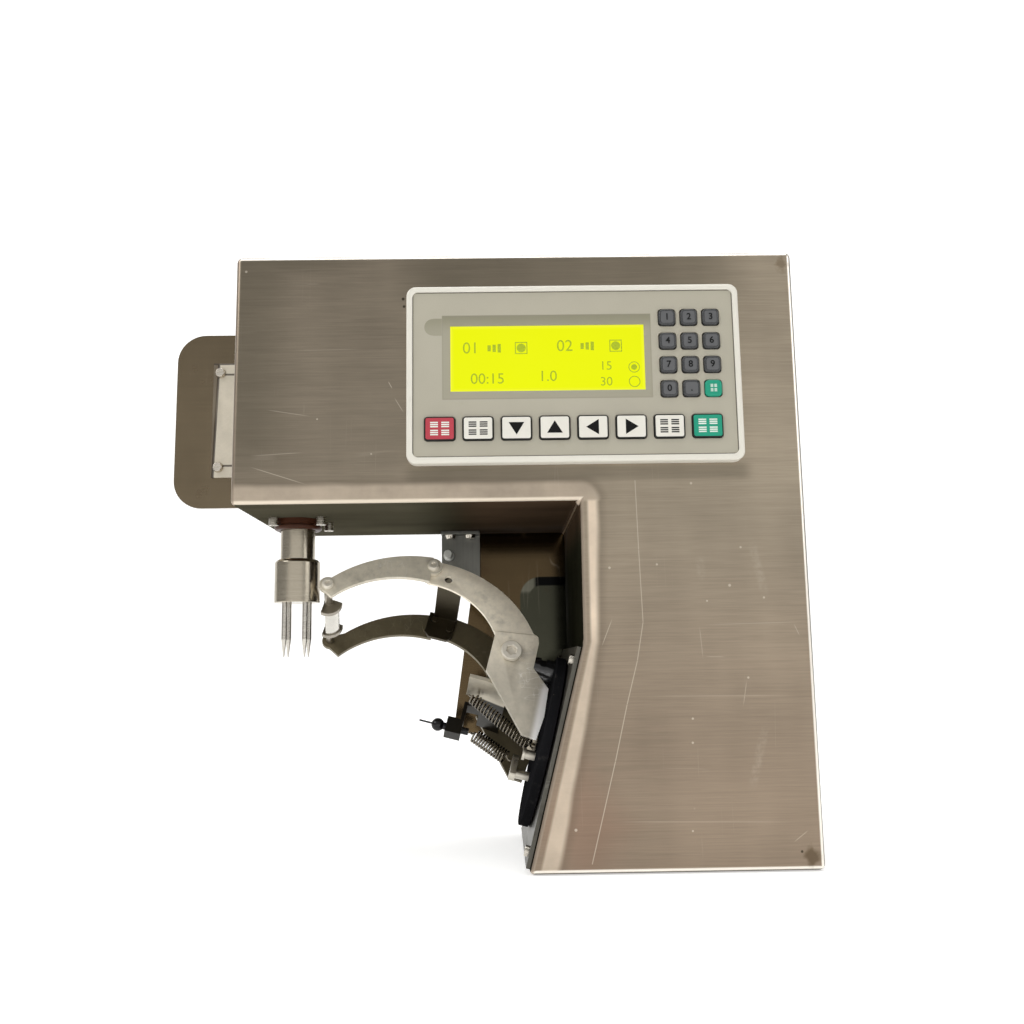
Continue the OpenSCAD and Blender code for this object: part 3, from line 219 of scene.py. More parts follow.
class Paint(NodeTree):
    """One procedural material under construction."""

    def __init__(self, name: str) -> None:
        """Start a material with a surface shader and its output."""
        self.material = bpy.data.materials.new(name)
        self.material.use_nodes = True
        super().__init__(self.material.node_tree)
        surface = self.node("ShaderNodeBsdfPrincipled")
        self.shader = surface.socket.node
        self.node("ShaderNodeOutputMaterial", None, {0: surface}, None)
        self.place = self.node("ShaderNodeTexCoord", None, None, "Object")
        self.facing = self.node("ShaderNodeTexCoord", None, None, "Normal")

    def stretched(self, scale: Sequence[float], turn: Sequence[float] = (0.0, 0.0, 0.0)) -> Value:
        """Object coordinates scaled and turned, for a pattern that runs one way."""
        return self.node("ShaderNodeMapping", None, {0: self.place, 2: tuple(turn), 3: tuple(scale)})

    def noise(
        self, scale: float, detail: float = 2.0, rough: float = 0.5, where: Value | None = None
    ) -> Value:
        """Soft noise from 0 to 1.

        Args:
            scale: features per metre of the coordinates.
            detail: octaves.
            rough: share of the finer octaves.
            where: coordinates; the object's own if left out.

        Returns:
            The noise value.
        """
        inputs = {"Vector": where or self.place, "Scale": scale, "Detail": detail, "Roughness": rough}
        return self.node("ShaderNodeTexNoise", None, inputs)

    def streaks(self, scale: Sequence[float], detail: float, rough: float) -> Value:
        """Noise that runs one way, by its scale along X, Y and Z."""
        return self.noise(1.0, detail, rough, self.stretched(scale))

    def specks(self, scale: float, size: float) -> Value:
        """Scattered dots: 1 in a dot, 0 elsewhere."""
        inputs = {"Vector": self.place, "Scale": scale, "Randomness": 1.0}
        return self.node("ShaderNodeTexVoronoi", {"feature": "F1"}, inputs).rise(size, size * 0.5)

    def hairlines(self, scale: Sequence[float], turn: Sequence[float], width: float) -> Value:
        """Thin wandering lines: 1 on a line, broken up along its length."""
        lines = abs(self.noise(1.0, 0.0, 0.0, self.stretched(scale, turn)) - 0.5).rise(width, width * 0.3)
        return lines * self.noise(30.0, 1.0).rise(0.56, 0.68)

    def mix(self, share: Number, first: Colour | Value, second: Colour | Value) -> Value:
        """Blend two colours.

        Args:
            share: how much of the second one shows, from 0 to 1.
            first: colour or link.
            second: colour or link.

        Returns:
            The blend.
        """
        def full(c: Colour | Value) -> Value | tuple:
            """A colour with alpha, or the link as it is."""
            return c if isinstance(c, Value) else (*c, 1.0)

        inputs = {0: share, 6: full(first), 7: full(second)}
        return self.node("ShaderNodeMix", {"data_type": "RGBA"}, inputs, 2)

    def tint(self, colour: Value | Colour, amount: Value) -> Value:
        """Multiply a colour by a number."""
        start = colour if isinstance(colour, Value) else tuple(colour)
        return self.node("ShaderNodeVectorMath", {"operation": "SCALE"}, {0: start, "Scale": amount})

    def bump(self, height: Value, depth: float) -> Value:
        """A normal from a height, depth in metres."""
        return self.node("ShaderNodeBump", None, {"Strength": 1.0, "Distance": depth, "Height": height})

    def set(self, **sockets: Number | Colour | Value) -> bpy.types.Material:
        """Set shader sockets.

        Args:
            sockets: values or links, with the socket's name in snake case.

        Returns:
            The finished material.
        """
        for key, value in sockets.items():
            name = key.replace("_", " ").title().replace("Ior", "IOR")
            socket = self.shader.inputs[name]
            if isinstance(value, Value):
                self.tree.links.new(value.socket, socket)
            elif isinstance(value, tuple) and len(value) == 3 and socket.type == "RGBA":
                socket.default_value = (*value, 1.0)
            else:
                socket.default_value = value
        return self.material


class Lay(Enum):
    """The way that a surface was worked, as pattern scale along X, Y and Z."""

    ALONG_X = (5.0, 60.0, 1500.0)
    ALONG_Y = (900.0, 6.0, 900.0)
    ALONG_Z = (900.0, 900.0, 6.0)
    TURNED_Z = (30.0, 30.0, 2600.0)
    GROUND = (260.0, 260.0, 260.0)


class Finish:
    """A surface that builds its own material."""

    name: str

    def material(self) -> bpy.types.Material:
        """Build the material; each finish does it its own way."""
        raise NotImplementedError


@dataclass(frozen=True)
class PaintedGlare:
    """A painted reflection: a bright strip along an arm's foot, measured off the slanted wall."""

    tone: Colour = (1.0, 0.98, 0.95)
    full: float = 11.0
    gone: float = 15.0
    top: tuple[float, float] = (94.0, 86.0)

    def share(self, p: Paint) -> Value:
        """Find the strip.

        Args:
            p: the material that it is for.

        Returns:
            1 on the strip, 0 away from it.
        """
        x, _, z = p.axes(p.place)
        out = (z - WALL[2] * MM) * math.sin(TILT) - (x - WALL[0] * MM) * math.cos(TILT)
        return out.rise(self.gone * MM, self.full * MM) * z.rise(self.top[0] * MM, self.top[1] * MM)


@dataclass(frozen=True)
class Steel(Finish):
    """Worked steel with brushing, blotches, scratches and dust; it may darken towards its lower end as
    painted shade and carry a painted reflection strip along its foot.
    """

    name: str
    tone: Colour
    lay: Lay = Lay.ALONG_X
    contrast: float = 0.3
    rough: float = 0.34
    scratches: float = 0.35
    grime: float = 0.25
    metal: float = 1.0
    fade: tuple[float, float, float] | None = None
    glare: PaintedGlare | None = None

    def material(self) -> bpy.types.Material:
        """Build the material.

        Returns:
            The material.
        """
        p = Paint(self.name)
        grain = p.streaks(self.lay.value, 3.0, 0.6)
        cloud = p.noise(28.0, 3.0)
        lines = p.hairlines((260.0, 260.0, 5.0), (0.5, 0.3, 0.7), 0.014)
        lines = lines.over(p.hairlines((6.0, 250.0, 270.0), (0.2, 0.5, -0.4), 0.012))
        shade = 1.0 + grain.sway(self.contrast) + cloud.sway(self.contrast * 0.8)
        # painted shade: darker towards the lower end
        if self.fade is not None:
            _, _, z = p.axes(p.place)
            shade = shade * (1.0 - z.rise(self.fade[0], self.fade[1]) * self.fade[2])
        base = p.tint(self.tone, shade)
        dirt = p.noise(70.0, 4.0, 0.65).rise(0.52, 0.78) * self.grime
        base = p.mix(dirt, base, tuple(c * 0.35 for c in self.tone))
        base = p.mix(lines * self.scratches, base, tuple(min(1.0, c * 1.7 + 0.1) for c in self.tone))
        rough = self.rough + grain.sway(0.22) + dirt * 0.3 + cloud.sway(0.12)
        # painted reflection: a bright strip along the arm's foot
        if self.glare is not None:
            base = p.mix(self.glare.share(p), base, self.glare.tone)
        relief = p.bump(grain + lines * 0.6, TEXTURE)
        return p.set(base_color=base, metallic=self.metal, roughness=rough, normal=relief)


# X and Z of both ends in millimetres and strength
SCRATCHES = (
    (-213.7, 204.0, -181.5, 193.4, 0.34),
    (-205.2, 233.6, -180.2, 229.5, 0.24),
    (-212.9, 209.2, -183.6, 210.7, 0.24),
    (-141.5, 248.1, -139.2, 243.8, 0.45),
    (-138.4, 239.5, -133.2, 230.9, 0.34),
    (-193.8, 265.0, -153.0, 265.5, 0.12),
    (-28.0, 124.3, -34.3, 109.0, 0.34),
    (15.4, 119.9, 16.6, 101.9, 0.2),
    (35.5, 78.7, 38.1, 92.6, 0.24),
    (-34.1, 24.7, 64.4, 23.1, 0.16),
    (-17.0, 84.8, 64.2, 84.0, 0.16),
    (14.1, 119.6, 69.5, 120.5, 0.16),
    (56.9, 13.5, 64.9, 19.4, 0.24),
    (17.3, 103.8, 28.3, 103.6, 0.2),
    (63.0, 119.8, 65.8, 113.3, 0.24),
)
# X and Z in millimetres along the scratch down the column
LONG_SCRATCH = (
    (-14.6, 194.1),
    (-13.9, 158.1),
    (-12.9, 121.5),
    (-16.4, 102.3),
    (-22.2, 80.9),
    (-28.8, 53.5),
    (-41.6, 4.8),
)
# broad rubbed streaks, as the scratches
STREAKS = (
    (43.1, 165.3, 49.9, 131.0, 0.11),
    (46.8, 72.3, 37.5, 37.0, 0.11),
    (17.0, 156.4, 17.6, 140.6, 0.08),
)
# X and Z of pale spots and their radius in millimetres
SPOTS = (
    (-4.9, 150.5, 0.7),
    (-29.0, 149.1, 0.8),
    (31.6, 139.4, 0.9),
    (10.2, 73.5, 0.7),
    (9.7, 61.8, 0.7),
    (-49.1, 21.0, 0.9),
    (14.2, 192.1, 0.8),
    (19.8, 131.7, 0.6),
    (38.1, 158.7, 0.7),
    (38.8, 93.2, 0.7),
    (48.7, 133.0, 0.7),
    (8.0, 19.7, 0.6),
    (-178.0, 228.2, 0.6),
    (-216.5, 308.5, 0.8),
    (-150.0, 209.5, 0.6),
)
# dark spots, the same way
PITS = ((-133.7, 292.6, 1.0), (-133.2, 288.4, 0.9), (60.9, 9.2, 0.8))
# rusty corners, the same way
RUST = ((67.5, 309.5, 6.0), (65.9, 7.0, 7.0))


@dataclass(frozen=True)
class HousingSteel(Finish):
    """Brushed sheet of the housing: ground bands along the inner edge, painted highlights and shade on the
    folds, painted shadows, and wear.
    """

    name: str = "shell_steel"
    tone: Colour = (0.36, 0.305, 0.232)
    warm: Colour = (0.345, 0.262, 0.192)
    band: Colour = (0.60, 0.505, 0.40)
    band_rim: Colour = (0.12, 0.095, 0.07)
    shadow: Colour = (0.135, 0.118, 0.085)
    reddish: Colour = (0.26, 0.155, 0.11)
    # painted highlights and shade on the folds round the front
    lower_edge_highlight: Colour = (0.70, 0.62, 0.51)
    fold_highlight: Colour = (0.90, 0.85, 0.77)
    fold_shade: Colour = (0.13, 0.115, 0.09)
    side_fold_shading: Colour = (0.40, 0.325, 0.255)
    mark: Colour = (0.80, 0.72, 0.60)
    pit: Colour = (0.02, 0.017, 0.012)
    rust: Colour = (0.12, 0.080, 0.038)
    column_left: float = -43.5
    foot_left: float = -72.5
    slant_top: float = 112.0
    under_head: float = 183.5
    band_w: float = 8.6

    def material(self) -> bpy.types.Material:
        """Build the material in steps."""
        return SheetPaint(self).finished()


class SheetPaint(Paint):
    """The housing's material, painted step by step."""

    def __init__(self, look: HousingSteel) -> None:
        """Start with the bare brushed sheet, warmer at its foot, with painted shade that darkens the head
        towards its left end and the sheet towards its foot.

        Args:
            look: its colours and measures.
        """
        super().__init__(look.name)
        self.look = look
        self.x, self.y, self.z = self.axes(self.place)
        self.nx, ny, self.nz = self.axes(self.facing)
        self.front = ny.rise(-0.25, -0.75)
        self.above = (self.z - look.under_head * MM).rise(-0.0005, 0.0015)
        self.fine = self.streaks((40.0, 40.0, 1500.0), 3.0, 0.62)
        self.cloud = self.noise(11.0, 3.0, 0.55)
        broad = self.streaks((2.2, 8.0, 150.0), 2.0, 0.5)
        smear = self.streaks((34.0, 10.0, 9.0), 2.0, 0.5)
        shade = 0.93 + self.fine.sway(0.42) + broad.sway(0.14) + self.cloud.sway(0.5) + smear.sway(0.3)
        # painted shade: the head darkens towards its left end, and the sheet below it darkens towards its
        # foot
        head = self.z.rise(0.17, 0.21)
        across = 0.70 + self.x.rise(-0.16, 0.07) * 0.56
        level = head * across + (1.0 - head) * (1.07 - self.z.rise(0.13, 0.05) * 0.26)
        low = self.z.rise(0.20, 0.03)
        self.base = self.tint(self.mix(low * 0.75, look.tone, look.warm), shade * level)

    def cover(self, share: Value, colour: Colour | Value) -> None:
        """Lay a colour over what is painted so far."""
        self.base = self.mix(share, self.base, colour)

    def shadows(self) -> None:
        """Darken the head's left end and above and under the display, redden the foot of the slanted wall."""
        x, z = self.x, self.z
        top = z.rise(0.304, 0.314) * x.rise(-0.15, -0.20)
        left = x.rise(-0.186, -0.212) * z.rise(0.19, 0.22)
        beneath = z.rise(0.1925, 0.196) * z.rise(0.2040, 0.2005)
        beneath = beneath * x.rise(-0.136, -0.127) * x.rise(0.048, 0.040)
        overhead = z.rise(0.286, 0.297) * x.rise(-0.15, -0.11) * x.rise(0.06, 0.02)
        shadow = (top * 0.5).over(left * 0.45).over(beneath * 0.4).over(overhead * 0.5)
        self.cover(shadow, self.look.shadow)
        patch = (abs(x + 0.045) + abs(z - 0.022) * 0.7).rise(0.036, 0.006)
        self.cover(patch * 0.4, self.look.reddish)

    def bands(self) -> Value:
        """Grind bands along the inner edge of the front.

        Returns:
            1 on the bands, 0 elsewhere.
        """
        look, x, z = self.look, self.x, self.z
        width, below = look.band_w * MM, 1.0 - self.above
        slope = (look.column_left - look.foot_left) / look.slant_top
        line = (z * slope + look.foot_left * MM).under(look.column_left * MM)
        outer, upper = (x - line).over(0.0), (z - look.under_head * MM).over(0.0)
        edge = (outer * outer + upper * upper).root()
        wander = self.noise(17.0, 2.0).sway(0.005)
        slanted = z.rise(0.125, 0.0)
        reach = edge + wander - self.above * 0.0012 - slanted * 0.0055
        inner = 1.0 - below * (edge - slanted * 0.0014).rise(0.0050, 0.0032)
        ground = reach.rise(width + 0.0018, width - 0.0018) * inner
        upright = below * (0.25 + z.rise(0.10, 0.13) * 0.38)
        grain = 0.80 + self.noise(60.0, 4.0, 0.6).sway(0.5)
        self.cover(ground * self.front * 0.9, self.tint(look.band, grain * (1.0 + upright)))
        rim = reach.rise(width + 0.006, width + 0.001) * (1.0 - ground) * self.front * inner
        self.cover(rim * 0.28, look.band_rim)
        return ground

    def folds(self) -> None:
        """Paint highlights and shade on the folds round the front: bright and dark lines, and a tone by
        facing on the side folds.
        """
        look, x, z, nx, nz = self.look, self.x, self.z, self.nx, self.nz
        # painted highlight along the head's lower fold
        self.cover(nz.rise(-0.10, -0.42) * self.above * z.rise(0.19, 0.187), look.lower_edge_highlight)
        turned = (nz * z.rise(0.312, 0.313)).over(nx * x.rise(0.068, 0.069))
        turned = turned.over(nz * z.rise(0.005, 0.004) * -1.0)
        # painted highlight and painted shade across the top, right and bottom folds
        in_fold = self.y.rise(-0.0580, -0.0597)
        self.cover(turned.rise(0.10, 0.40) * in_fold, look.fold_highlight)
        self.cover(turned.rise(0.62, 0.80) * in_fold, look.fold_shade)
        # painted light and shade on the folds that face left
        left = nx.rise(-0.12, -0.5) * x.rise(-0.216, -0.218)
        wall = nx.rise(-0.12, -0.4) * x.rise(-0.09, -0.08)
        self.cover((left * 0.9).over(wall * 0.8), look.side_fold_shading)

    def scratch(self, ends: Sequence[float], width: float = 0.3, fading: bool = True) -> Value:
        """A straight scratch on the front.

        Args:
            ends: X and Z of both ends in millimetres.
            width: half its width in millimetres.
            fading: whether it fades towards its ends.

        Returns:
            1 on the scratch, 0 elsewhere.
        """
        x0, z0, x1, z1 = (q * MM for q in ends)
        length = math.hypot(x1 - x0, z1 - z0)
        ux, uz = (x1 - x0) / length, (z1 - z0) / length
        dx, dz = self.x - x0, self.z - z0
        along = dx * ux + dz * uz
        aside = abs(dx * uz - dz * ux)
        soft = length * 0.3 if fading else 0.0002
        across = aside.rise(width * MM, width * 0.3 * MM)
        return across * along.rise(0.0, soft) * along.rise(length, length - soft)

    def dots(self, places: Sequence[Point]) -> Value:
        """Small round spots on the front.

        Args:
            places: X, Z and radius of each in millimetres.

        Returns:
            1 on a spot, 0 elsewhere.
        """
        found = self.x * 0.0
        for cx, cz, r in places:
            dx, dz = self.x - cx * MM, self.z - cz * MM
            found = found.over((dx * dx + dz * dz).rise((r * MM) ** 2, (r * 0.5 * MM) ** 2))
        return found

    def wear(self) -> Value:
        """Add scratches, streaks and spots.

        Returns:
            The strength of the marks, 0 where there is none.
        """
        hair = self.hairlines((150.0, 20.0, 3.0), (0.0, 0.45, 0.0), 0.008)
        hair = hair.over(self.hairlines((3.0, 20.0, 150.0), (0.0, -0.25, 0.0), 0.008))
        specks = self.specks(55.0, 0.035) * self.noise(14.0, 1.0).rise(0.5, 0.62)
        marks = (hair * 0.06).over(specks * 0.4).over(self.dots(SPOTS) * 0.45)
        for first, last in zip(LONG_SCRATCH, LONG_SCRATCH[1:]):
            marks = marks.over(self.scratch((*first, *last), 0.34, False) * 0.36)
        for *ends, strength in SCRATCHES:
            marks = marks.over(self.scratch(ends) * strength)
        ragged = self.streaks((500.0, 40.0, 500.0), 3.0, 0.6).rise(0.25, 0.75)
        for *ends, strength in STREAKS:
            marks = marks.over(self.scratch(ends, 3.0) * ragged * strength)
        marks = marks * self.front
        self.cover(marks, self.look.mark)
        self.cover(self.dots(PITS) * self.front * 0.8, self.look.pit)
        return marks

    def corrode(self) -> Value:
        """Rust the right-hand corners of the front.

        Returns:
            1 on the rust, 0 elsewhere.
        """
        ragged = self.noise(160.0, 3.0).sway(0.012)
        rust = self.x * 0.0
        for cx, cz, size in RUST:
            far = abs(self.x - cx * MM) + abs(self.z - cz * MM) + ragged
            rust = rust.over(far.rise(size * MM, size * 0.3 * MM))
        rust = rust * self.front
        self.cover(rust * 0.5, self.look.rust)
        return rust

    def finished(self) -> bpy.types.Material:
        """Paint the steps in order.

        Returns:
            The material.
        """
        self.shadows()
        ground = self.bands()
        self.folds()
        marks = self.wear()
        rust = self.corrode()
        rough = 0.36 + self.fine.sway(0.22) + self.cloud.sway(0.14) + ground * 0.14 + rust * 0.3
        height = self.fine * (1.0 - ground) + self.noise(420.0, 2.0) * ground * 0.7 + marks * 0.7
        relief = self.bump(height, TEXTURE)
        return self.set(base_color=self.base, metallic=1.0, roughness=rough, normal=relief)


@dataclass(frozen=True)
class ShadedSteel(Finish):
    """Dark polished faces under the head and along the inner wall: their dark colour is painted shade and
    reflection, paler towards the head's open end and warmer near the corner.
    """

    name: str = "shaded_steel"
    tone: Colour = (0.017, 0.0165, 0.010)
    warm: Colour = (0.050, 0.031, 0.019)
    worn: Colour = (0.10, 0.10, 0.095)
    open_end_light: Colour = (0.062, 0.056, 0.038)

    def material(self) -> bpy.types.Material:
        """Build the material.

        Returns:
            The material.
        """
        p = Paint(self.name)
        x, y, z = p.axes(p.place)
        smear = p.streaks((14.0, 40.0, 20.0), 2.0, 0.5)
        near = x.rise(-0.125, -0.085) * z.rise(0.16, 0.18)
        base = p.mix(near * 0.8, self.tone, self.warm)
        # painted light: the underside is paler towards the head's open left end
        base = p.mix(x.rise(-0.10, -0.14) * z.rise(0.16, 0.18), base, self.open_end_light)
        # painted shade: darker low on the inner wall
        base = p.tint(base, (0.6 + smear * 0.9) * (0.62 + z.rise(0.15, 0.18) * 0.38))
        haze = y.rise(0.0, 0.062) * p.noise(16.0, 2.0).rise(0.4, 0.7)
        base = p.mix(haze * 0.3, base, self.worn)
        rough = 0.5 + smear.sway(0.3)
        return p.set(base_color=base, roughness=rough, specular_ior_level=0.0, normal=p.bump(smear, TEXTURE))


@dataclass(frozen=True)
class BraceSteel(Finish):
    """Brace of the arms: painted light on its front tab, painted shade towards the adjuster."""

    start: Point
    across: Point
    name: str = "brace_steel"
    bright: Colour = (0.56, 0.51, 0.41)
    dark: Colour = (0.022, 0.020, 0.016)

    def material(self) -> bpy.types.Material:
        """Build the material.

        Returns:
            The material.
        """
        p = Paint(self.name)
        x, y, z = p.axes(p.place)
        depth = (x - self.start[0]) * self.across[0] + (y - self.start[1]) * self.across[1]
        depth = depth + (z - self.start[2]) * self.across[2]
        # painted shade behind the front tab, towards the adjuster; painted light on the tab
        rear = depth.rise(-0.0075, -0.0055)
        fine = p.noise(300.0, 3.0, 0.6)
        tone = p.mix(rear, self.bright, self.dark)
        base = p.tint(tone, 1.0 + fine.sway(0.4) + p.noise(40.0, 2.0).sway(0.4))
        rough = 0.34 + fine.sway(0.2)
        return p.set(base_color=base, metallic=1.0, roughness=rough, normal=p.bump(fine, TEXTURE))


@dataclass(frozen=True)
class BackSteel(Finish):
    """Sheet of the back plate: lighter on the tongue, painted dark as shade behind the arms, with a painted
    reflection of the swing disc.
    """

    name: str = "back_steel"
    tongue: Colour = (0.165, 0.130, 0.085)
    guard_shade: Colour = (0.066, 0.046, 0.024)
    rear_face: Colour = (0.34, 0.29, 0.22)
    disc_reflection: Colour = (0.038, 0.038, 0.027)
    disc_reflection_rim: Colour = (0.004, 0.004, 0.004)
    disc_reflection_corner: Colour = (0.115, 0.112, 0.088)
    disc_reflection_middle: tuple[float, float] = (-0.0592, 0.1425)

    def material(self) -> bpy.types.Material:
        """Build the material.

        Returns:
            The material.
        """
        p = Paint(self.name)
        x, _, z = p.axes(p.place)
        _, ny, _ = p.axes(p.facing)
        fine = p.streaks((6.0, 30.0, 1200.0), 3.0, 0.6)
        cloud = p.noise(20.0, 3.0, 0.6)
        smear = p.streaks((30.0, 10.0, 8.0), 2.0, 0.5)
        # painted shade: the guard behind the arms is much darker than the tongue
        behind = x.rise(-0.20, -0.16)
        rear = ny.rise(0.3, 0.7)
        base = p.mix(behind * (1.0 - rear), self.tongue, self.guard_shade)
        base = p.mix(rear, base, self.rear_face)
        # painted reflection of the swing disc: a dark round zone behind the swing drive, with a black upper
        # rim and a pale corner
        aside, over = (self.disc_reflection_middle[0] - x).over(0.0), (z - self.disc_reflection_middle[1]).over(0.0)
        far = (aside * aside + over * over).root()
        disc_reflection = far.rise(0.0134, 0.0126) * (1.0 - rear) * behind
        base = p.mix(disc_reflection, base, self.disc_reflection)
        ring = disc_reflection * far.rise(0.0070, 0.0080) * over.rise(0.002, 0.005)
        base = p.mix(ring * x.rise(-0.0645, -0.0615), base, self.disc_reflection_rim)
        base = p.mix(ring * x.rise(-0.0615, -0.0645) * 0.8, base, self.disc_reflection_corner)
        low = z.rise(0.17, 0.08) * behind
        shade = 1.0 + fine.sway(0.22) + cloud.sway(0.5) + smear.sway(0.4) + low * 0.5
        base = p.tint(base, shade)
        lines = p.hairlines((140.0, 20.0, 12.0), (0.0, 0.4, 0.0), 0.012)
        base = p.mix(lines * 0.12, base, (0.5, 0.44, 0.36))
        stain = p.noise(46.0, 3.0, 0.6).rise(0.58, 0.72)
        base = p.mix(stain * 0.3, base, (0.09, 0.055, 0.03))
        rough = 0.24 - behind * 0.12 + fine.sway(0.1) + stain * 0.12
        return p.set(base_color=base, metallic=1.0, roughness=rough, normal=p.bump(fine, 0.000005))


@dataclass(frozen=True)
class Plastic(Finish):
    """Moulded plastic or paint: fine grain, mottling and handling dirt."""

    name: str
    tone: Colour
    rough: float = 0.42
    grain: float = 2600.0
    mottle: float = 0.08
    dirt: float = 0.15
    metal: float = 0.0
    depth: float = 0.00002
    shine: float = 0.5

    def material(self) -> bpy.types.Material:
        """Build the material.

        Returns:
            The material.
        """
        p = Paint(self.name)
        grain = p.noise(self.grain, 2.0, 0.6)
        cloud = p.noise(55.0, 3.0, 0.55)
        base = p.tint(self.tone, 1.0 + cloud.sway(2.0 * self.mottle) + grain.sway(self.mottle))
        soil = p.noise(110.0, 4.0, 0.7).rise(0.55, 0.8) * self.dirt
        base = p.mix(soil, base, tuple(c * 0.4 + 0.01 for c in self.tone))
        rough = self.rough + grain.sway(0.16) + soil * 0.3
        relief = p.bump(grain, self.depth)
        finishing = {"metallic": self.metal, "roughness": rough, "specular_ior_level": self.shine}
        return p.set(base_color=base, normal=relief, **finishing)


@dataclass(frozen=True)
class OxideSteel(Finish):
    """Blackened steel with an oily sheen, rubbed spots and dust."""

    name: str = "black_oxide"
    tone: Colour = (0.010, 0.010, 0.011)
    worn: Colour = (0.12, 0.11, 0.10)
    rough: float = 0.2
    metal: float = 0.5
    shine: float = 0.5

    def material(self) -> bpy.types.Material:
        """Build the material.

        Returns:
            The material.
        """
        p = Paint(self.name)
        cloud = p.noise(60.0, 4.0, 0.6)
        fine = p.noise(900.0, 2.0)
        rub = p.noise(130.0, 4.0, 0.7).rise(0.6, 0.75)
        base = p.tint(self.tone, 0.7 + cloud * 0.8)
        base = p.mix(rub * 0.2, base, self.worn)
        dust = p.specks(330.0, 0.12) * p.noise(40.0, 1.0).rise(0.5, 0.6)
        base = p.mix(dust * 0.5, base, (0.3, 0.27, 0.2))
        rough = self.rough + cloud.sway(0.2) + rub * 0.15
        relief = p.bump(fine, 0.2 * TEXTURE)
        finishing = {"metallic": self.metal, "roughness": rough, "specular_ior_level": self.shine}
        return p.set(base_color=base, normal=relief, **finishing)


@dataclass(frozen=True)
class PrintedFilm(Finish):
    """Printed overlay of the display: field, darker surround of the screen with its round tab, painted shadow
    along the surround's top, smudges.
    """

    screen_low: Point
    screen_high: Point
    film_low: Point
    film_high: Point
    name: str = "overlay_film"
    field_tone: Colour = (0.40, 0.375, 0.30)
    surround: Colour = (0.225, 0.215, 0.145)

    def material(self) -> bpy.types.Material:
        """Build the material.

        Returns:
            The material.
        """
        p = Paint(self.name)
        x, _, z = p.axes(p.place)
        low, high = self.screen_low, self.screen_high
        soft = 0.0003

        def inside(x0: float, x1: float, z0: float, z1: float) -> Value:
            """1 inside an upright rectangle."""
            across = x.rise(x0 - soft, x0 + soft) * x.rise(x1 + soft, x1 - soft)
            return across * z.rise(z0 - soft, z0 + soft) * z.rise(z1 + soft, z1 - soft)

        x0, x1, z0, z1 = low[0] - 0.0042, high[0] + 0.0036, low[2] - 0.0042, high[2] + 0.0056
        box = inside(x0, x1, z0, z1)
        line = box * (1.0 - inside(x0 + 0.0005, x1 - 0.0005, z0 + 0.0005, z1 - 0.0005))
        tab_z = high[2] - 0.0005
        tab = inside(x0 - 0.0047, x0, tab_z - 0.0046, tab_z + 0.0046)
        dx, dz = x - (x0 - 0.0047), z - tab_z
        disc = (dx * dx + dz * dz).rise(0.0046 ** 2, 0.0043 ** 2)
        ring = disc.over(tab) * (1.0 - box)
        cloud = p.noise(30.0, 3.0, 0.5)
        base = p.tint(self.field_tone, 1.0 + cloud.sway(0.14) + p.noise(2200.0, 1.0).sway(0.06))
        # painted shadow: the surround and its tab darken towards the top
        shade = z.rise(z1 - 0.010, z1)
        base = p.mix(box * (0.45 + shade * 0.5), base, self.surround)
        base = p.mix(ring * (0.55 + shade * 0.3), base, self.surround)
        base = p.mix(line * 0.35, base, (0.22, 0.2, 0.16))
        rim = (x - self.film_low[0]).under(self.film_high[0] - x)
        rim = rim.under(z - self.film_low[2]).under(self.film_high[2] - z)
        base = p.mix(rim.rise(0.0007, 0.0003) * 0.8, base, (0.045, 0.04, 0.032))
        smudge = p.noise(52.0, 4.0, 0.7).rise(0.6, 0.8)
        base = p.mix(smudge * 0.18, base, (0.24, 0.21, 0.15))
        rough = 0.46 + cloud.sway(0.15) + smudge * 0.15
        return p.set(base_color=base, roughness=rough, normal=p.bump(p.noise(1800.0, 2.0), 0.00001))


@dataclass(frozen=True)
class LitScreen(Finish):
    """Back-lit screen, yellow-green, a little paler at its edges."""

    screen_low: Point
    screen_high: Point
    name: str = "lcd_screen"
    lit: Colour = (0.90, 0.97, 0.004)
    dim: Colour = (0.98, 1.0, 0.045)

    def material(self) -> bpy.types.Material:
        """Build the material.

        Returns:
            The material.
        """
        p = Paint(self.name)
        x, _, z = p.axes(p.place)
        low, high = self.screen_low, self.screen_high
        border = (x - low[0]).under(high[0] - x).under(z - low[2]).under(high[2] - z)
        edge = border.rise(0.0022, 0.0)
        cells = p.node("ShaderNodeTexChecker", None, {"Vector": p.place, "Scale": 2000.0}, 1)
        glow = p.mix(edge * 0.8 + p.noise(22.0, 2.0).sway(0.3) + cells * 0.03, self.lit, self.dim)
        glass = 0.2 + p.noise(300.0, 2.0) * 0.1
        base = p.tint(glow, p.noise(9.0, 1.0) * 0.1)
        lamp = {"emission_color": glow, "emission_strength": 0.9}
        return p.set(base_color=base, roughness=glass, specular_ior_level=0.08, **lamp)


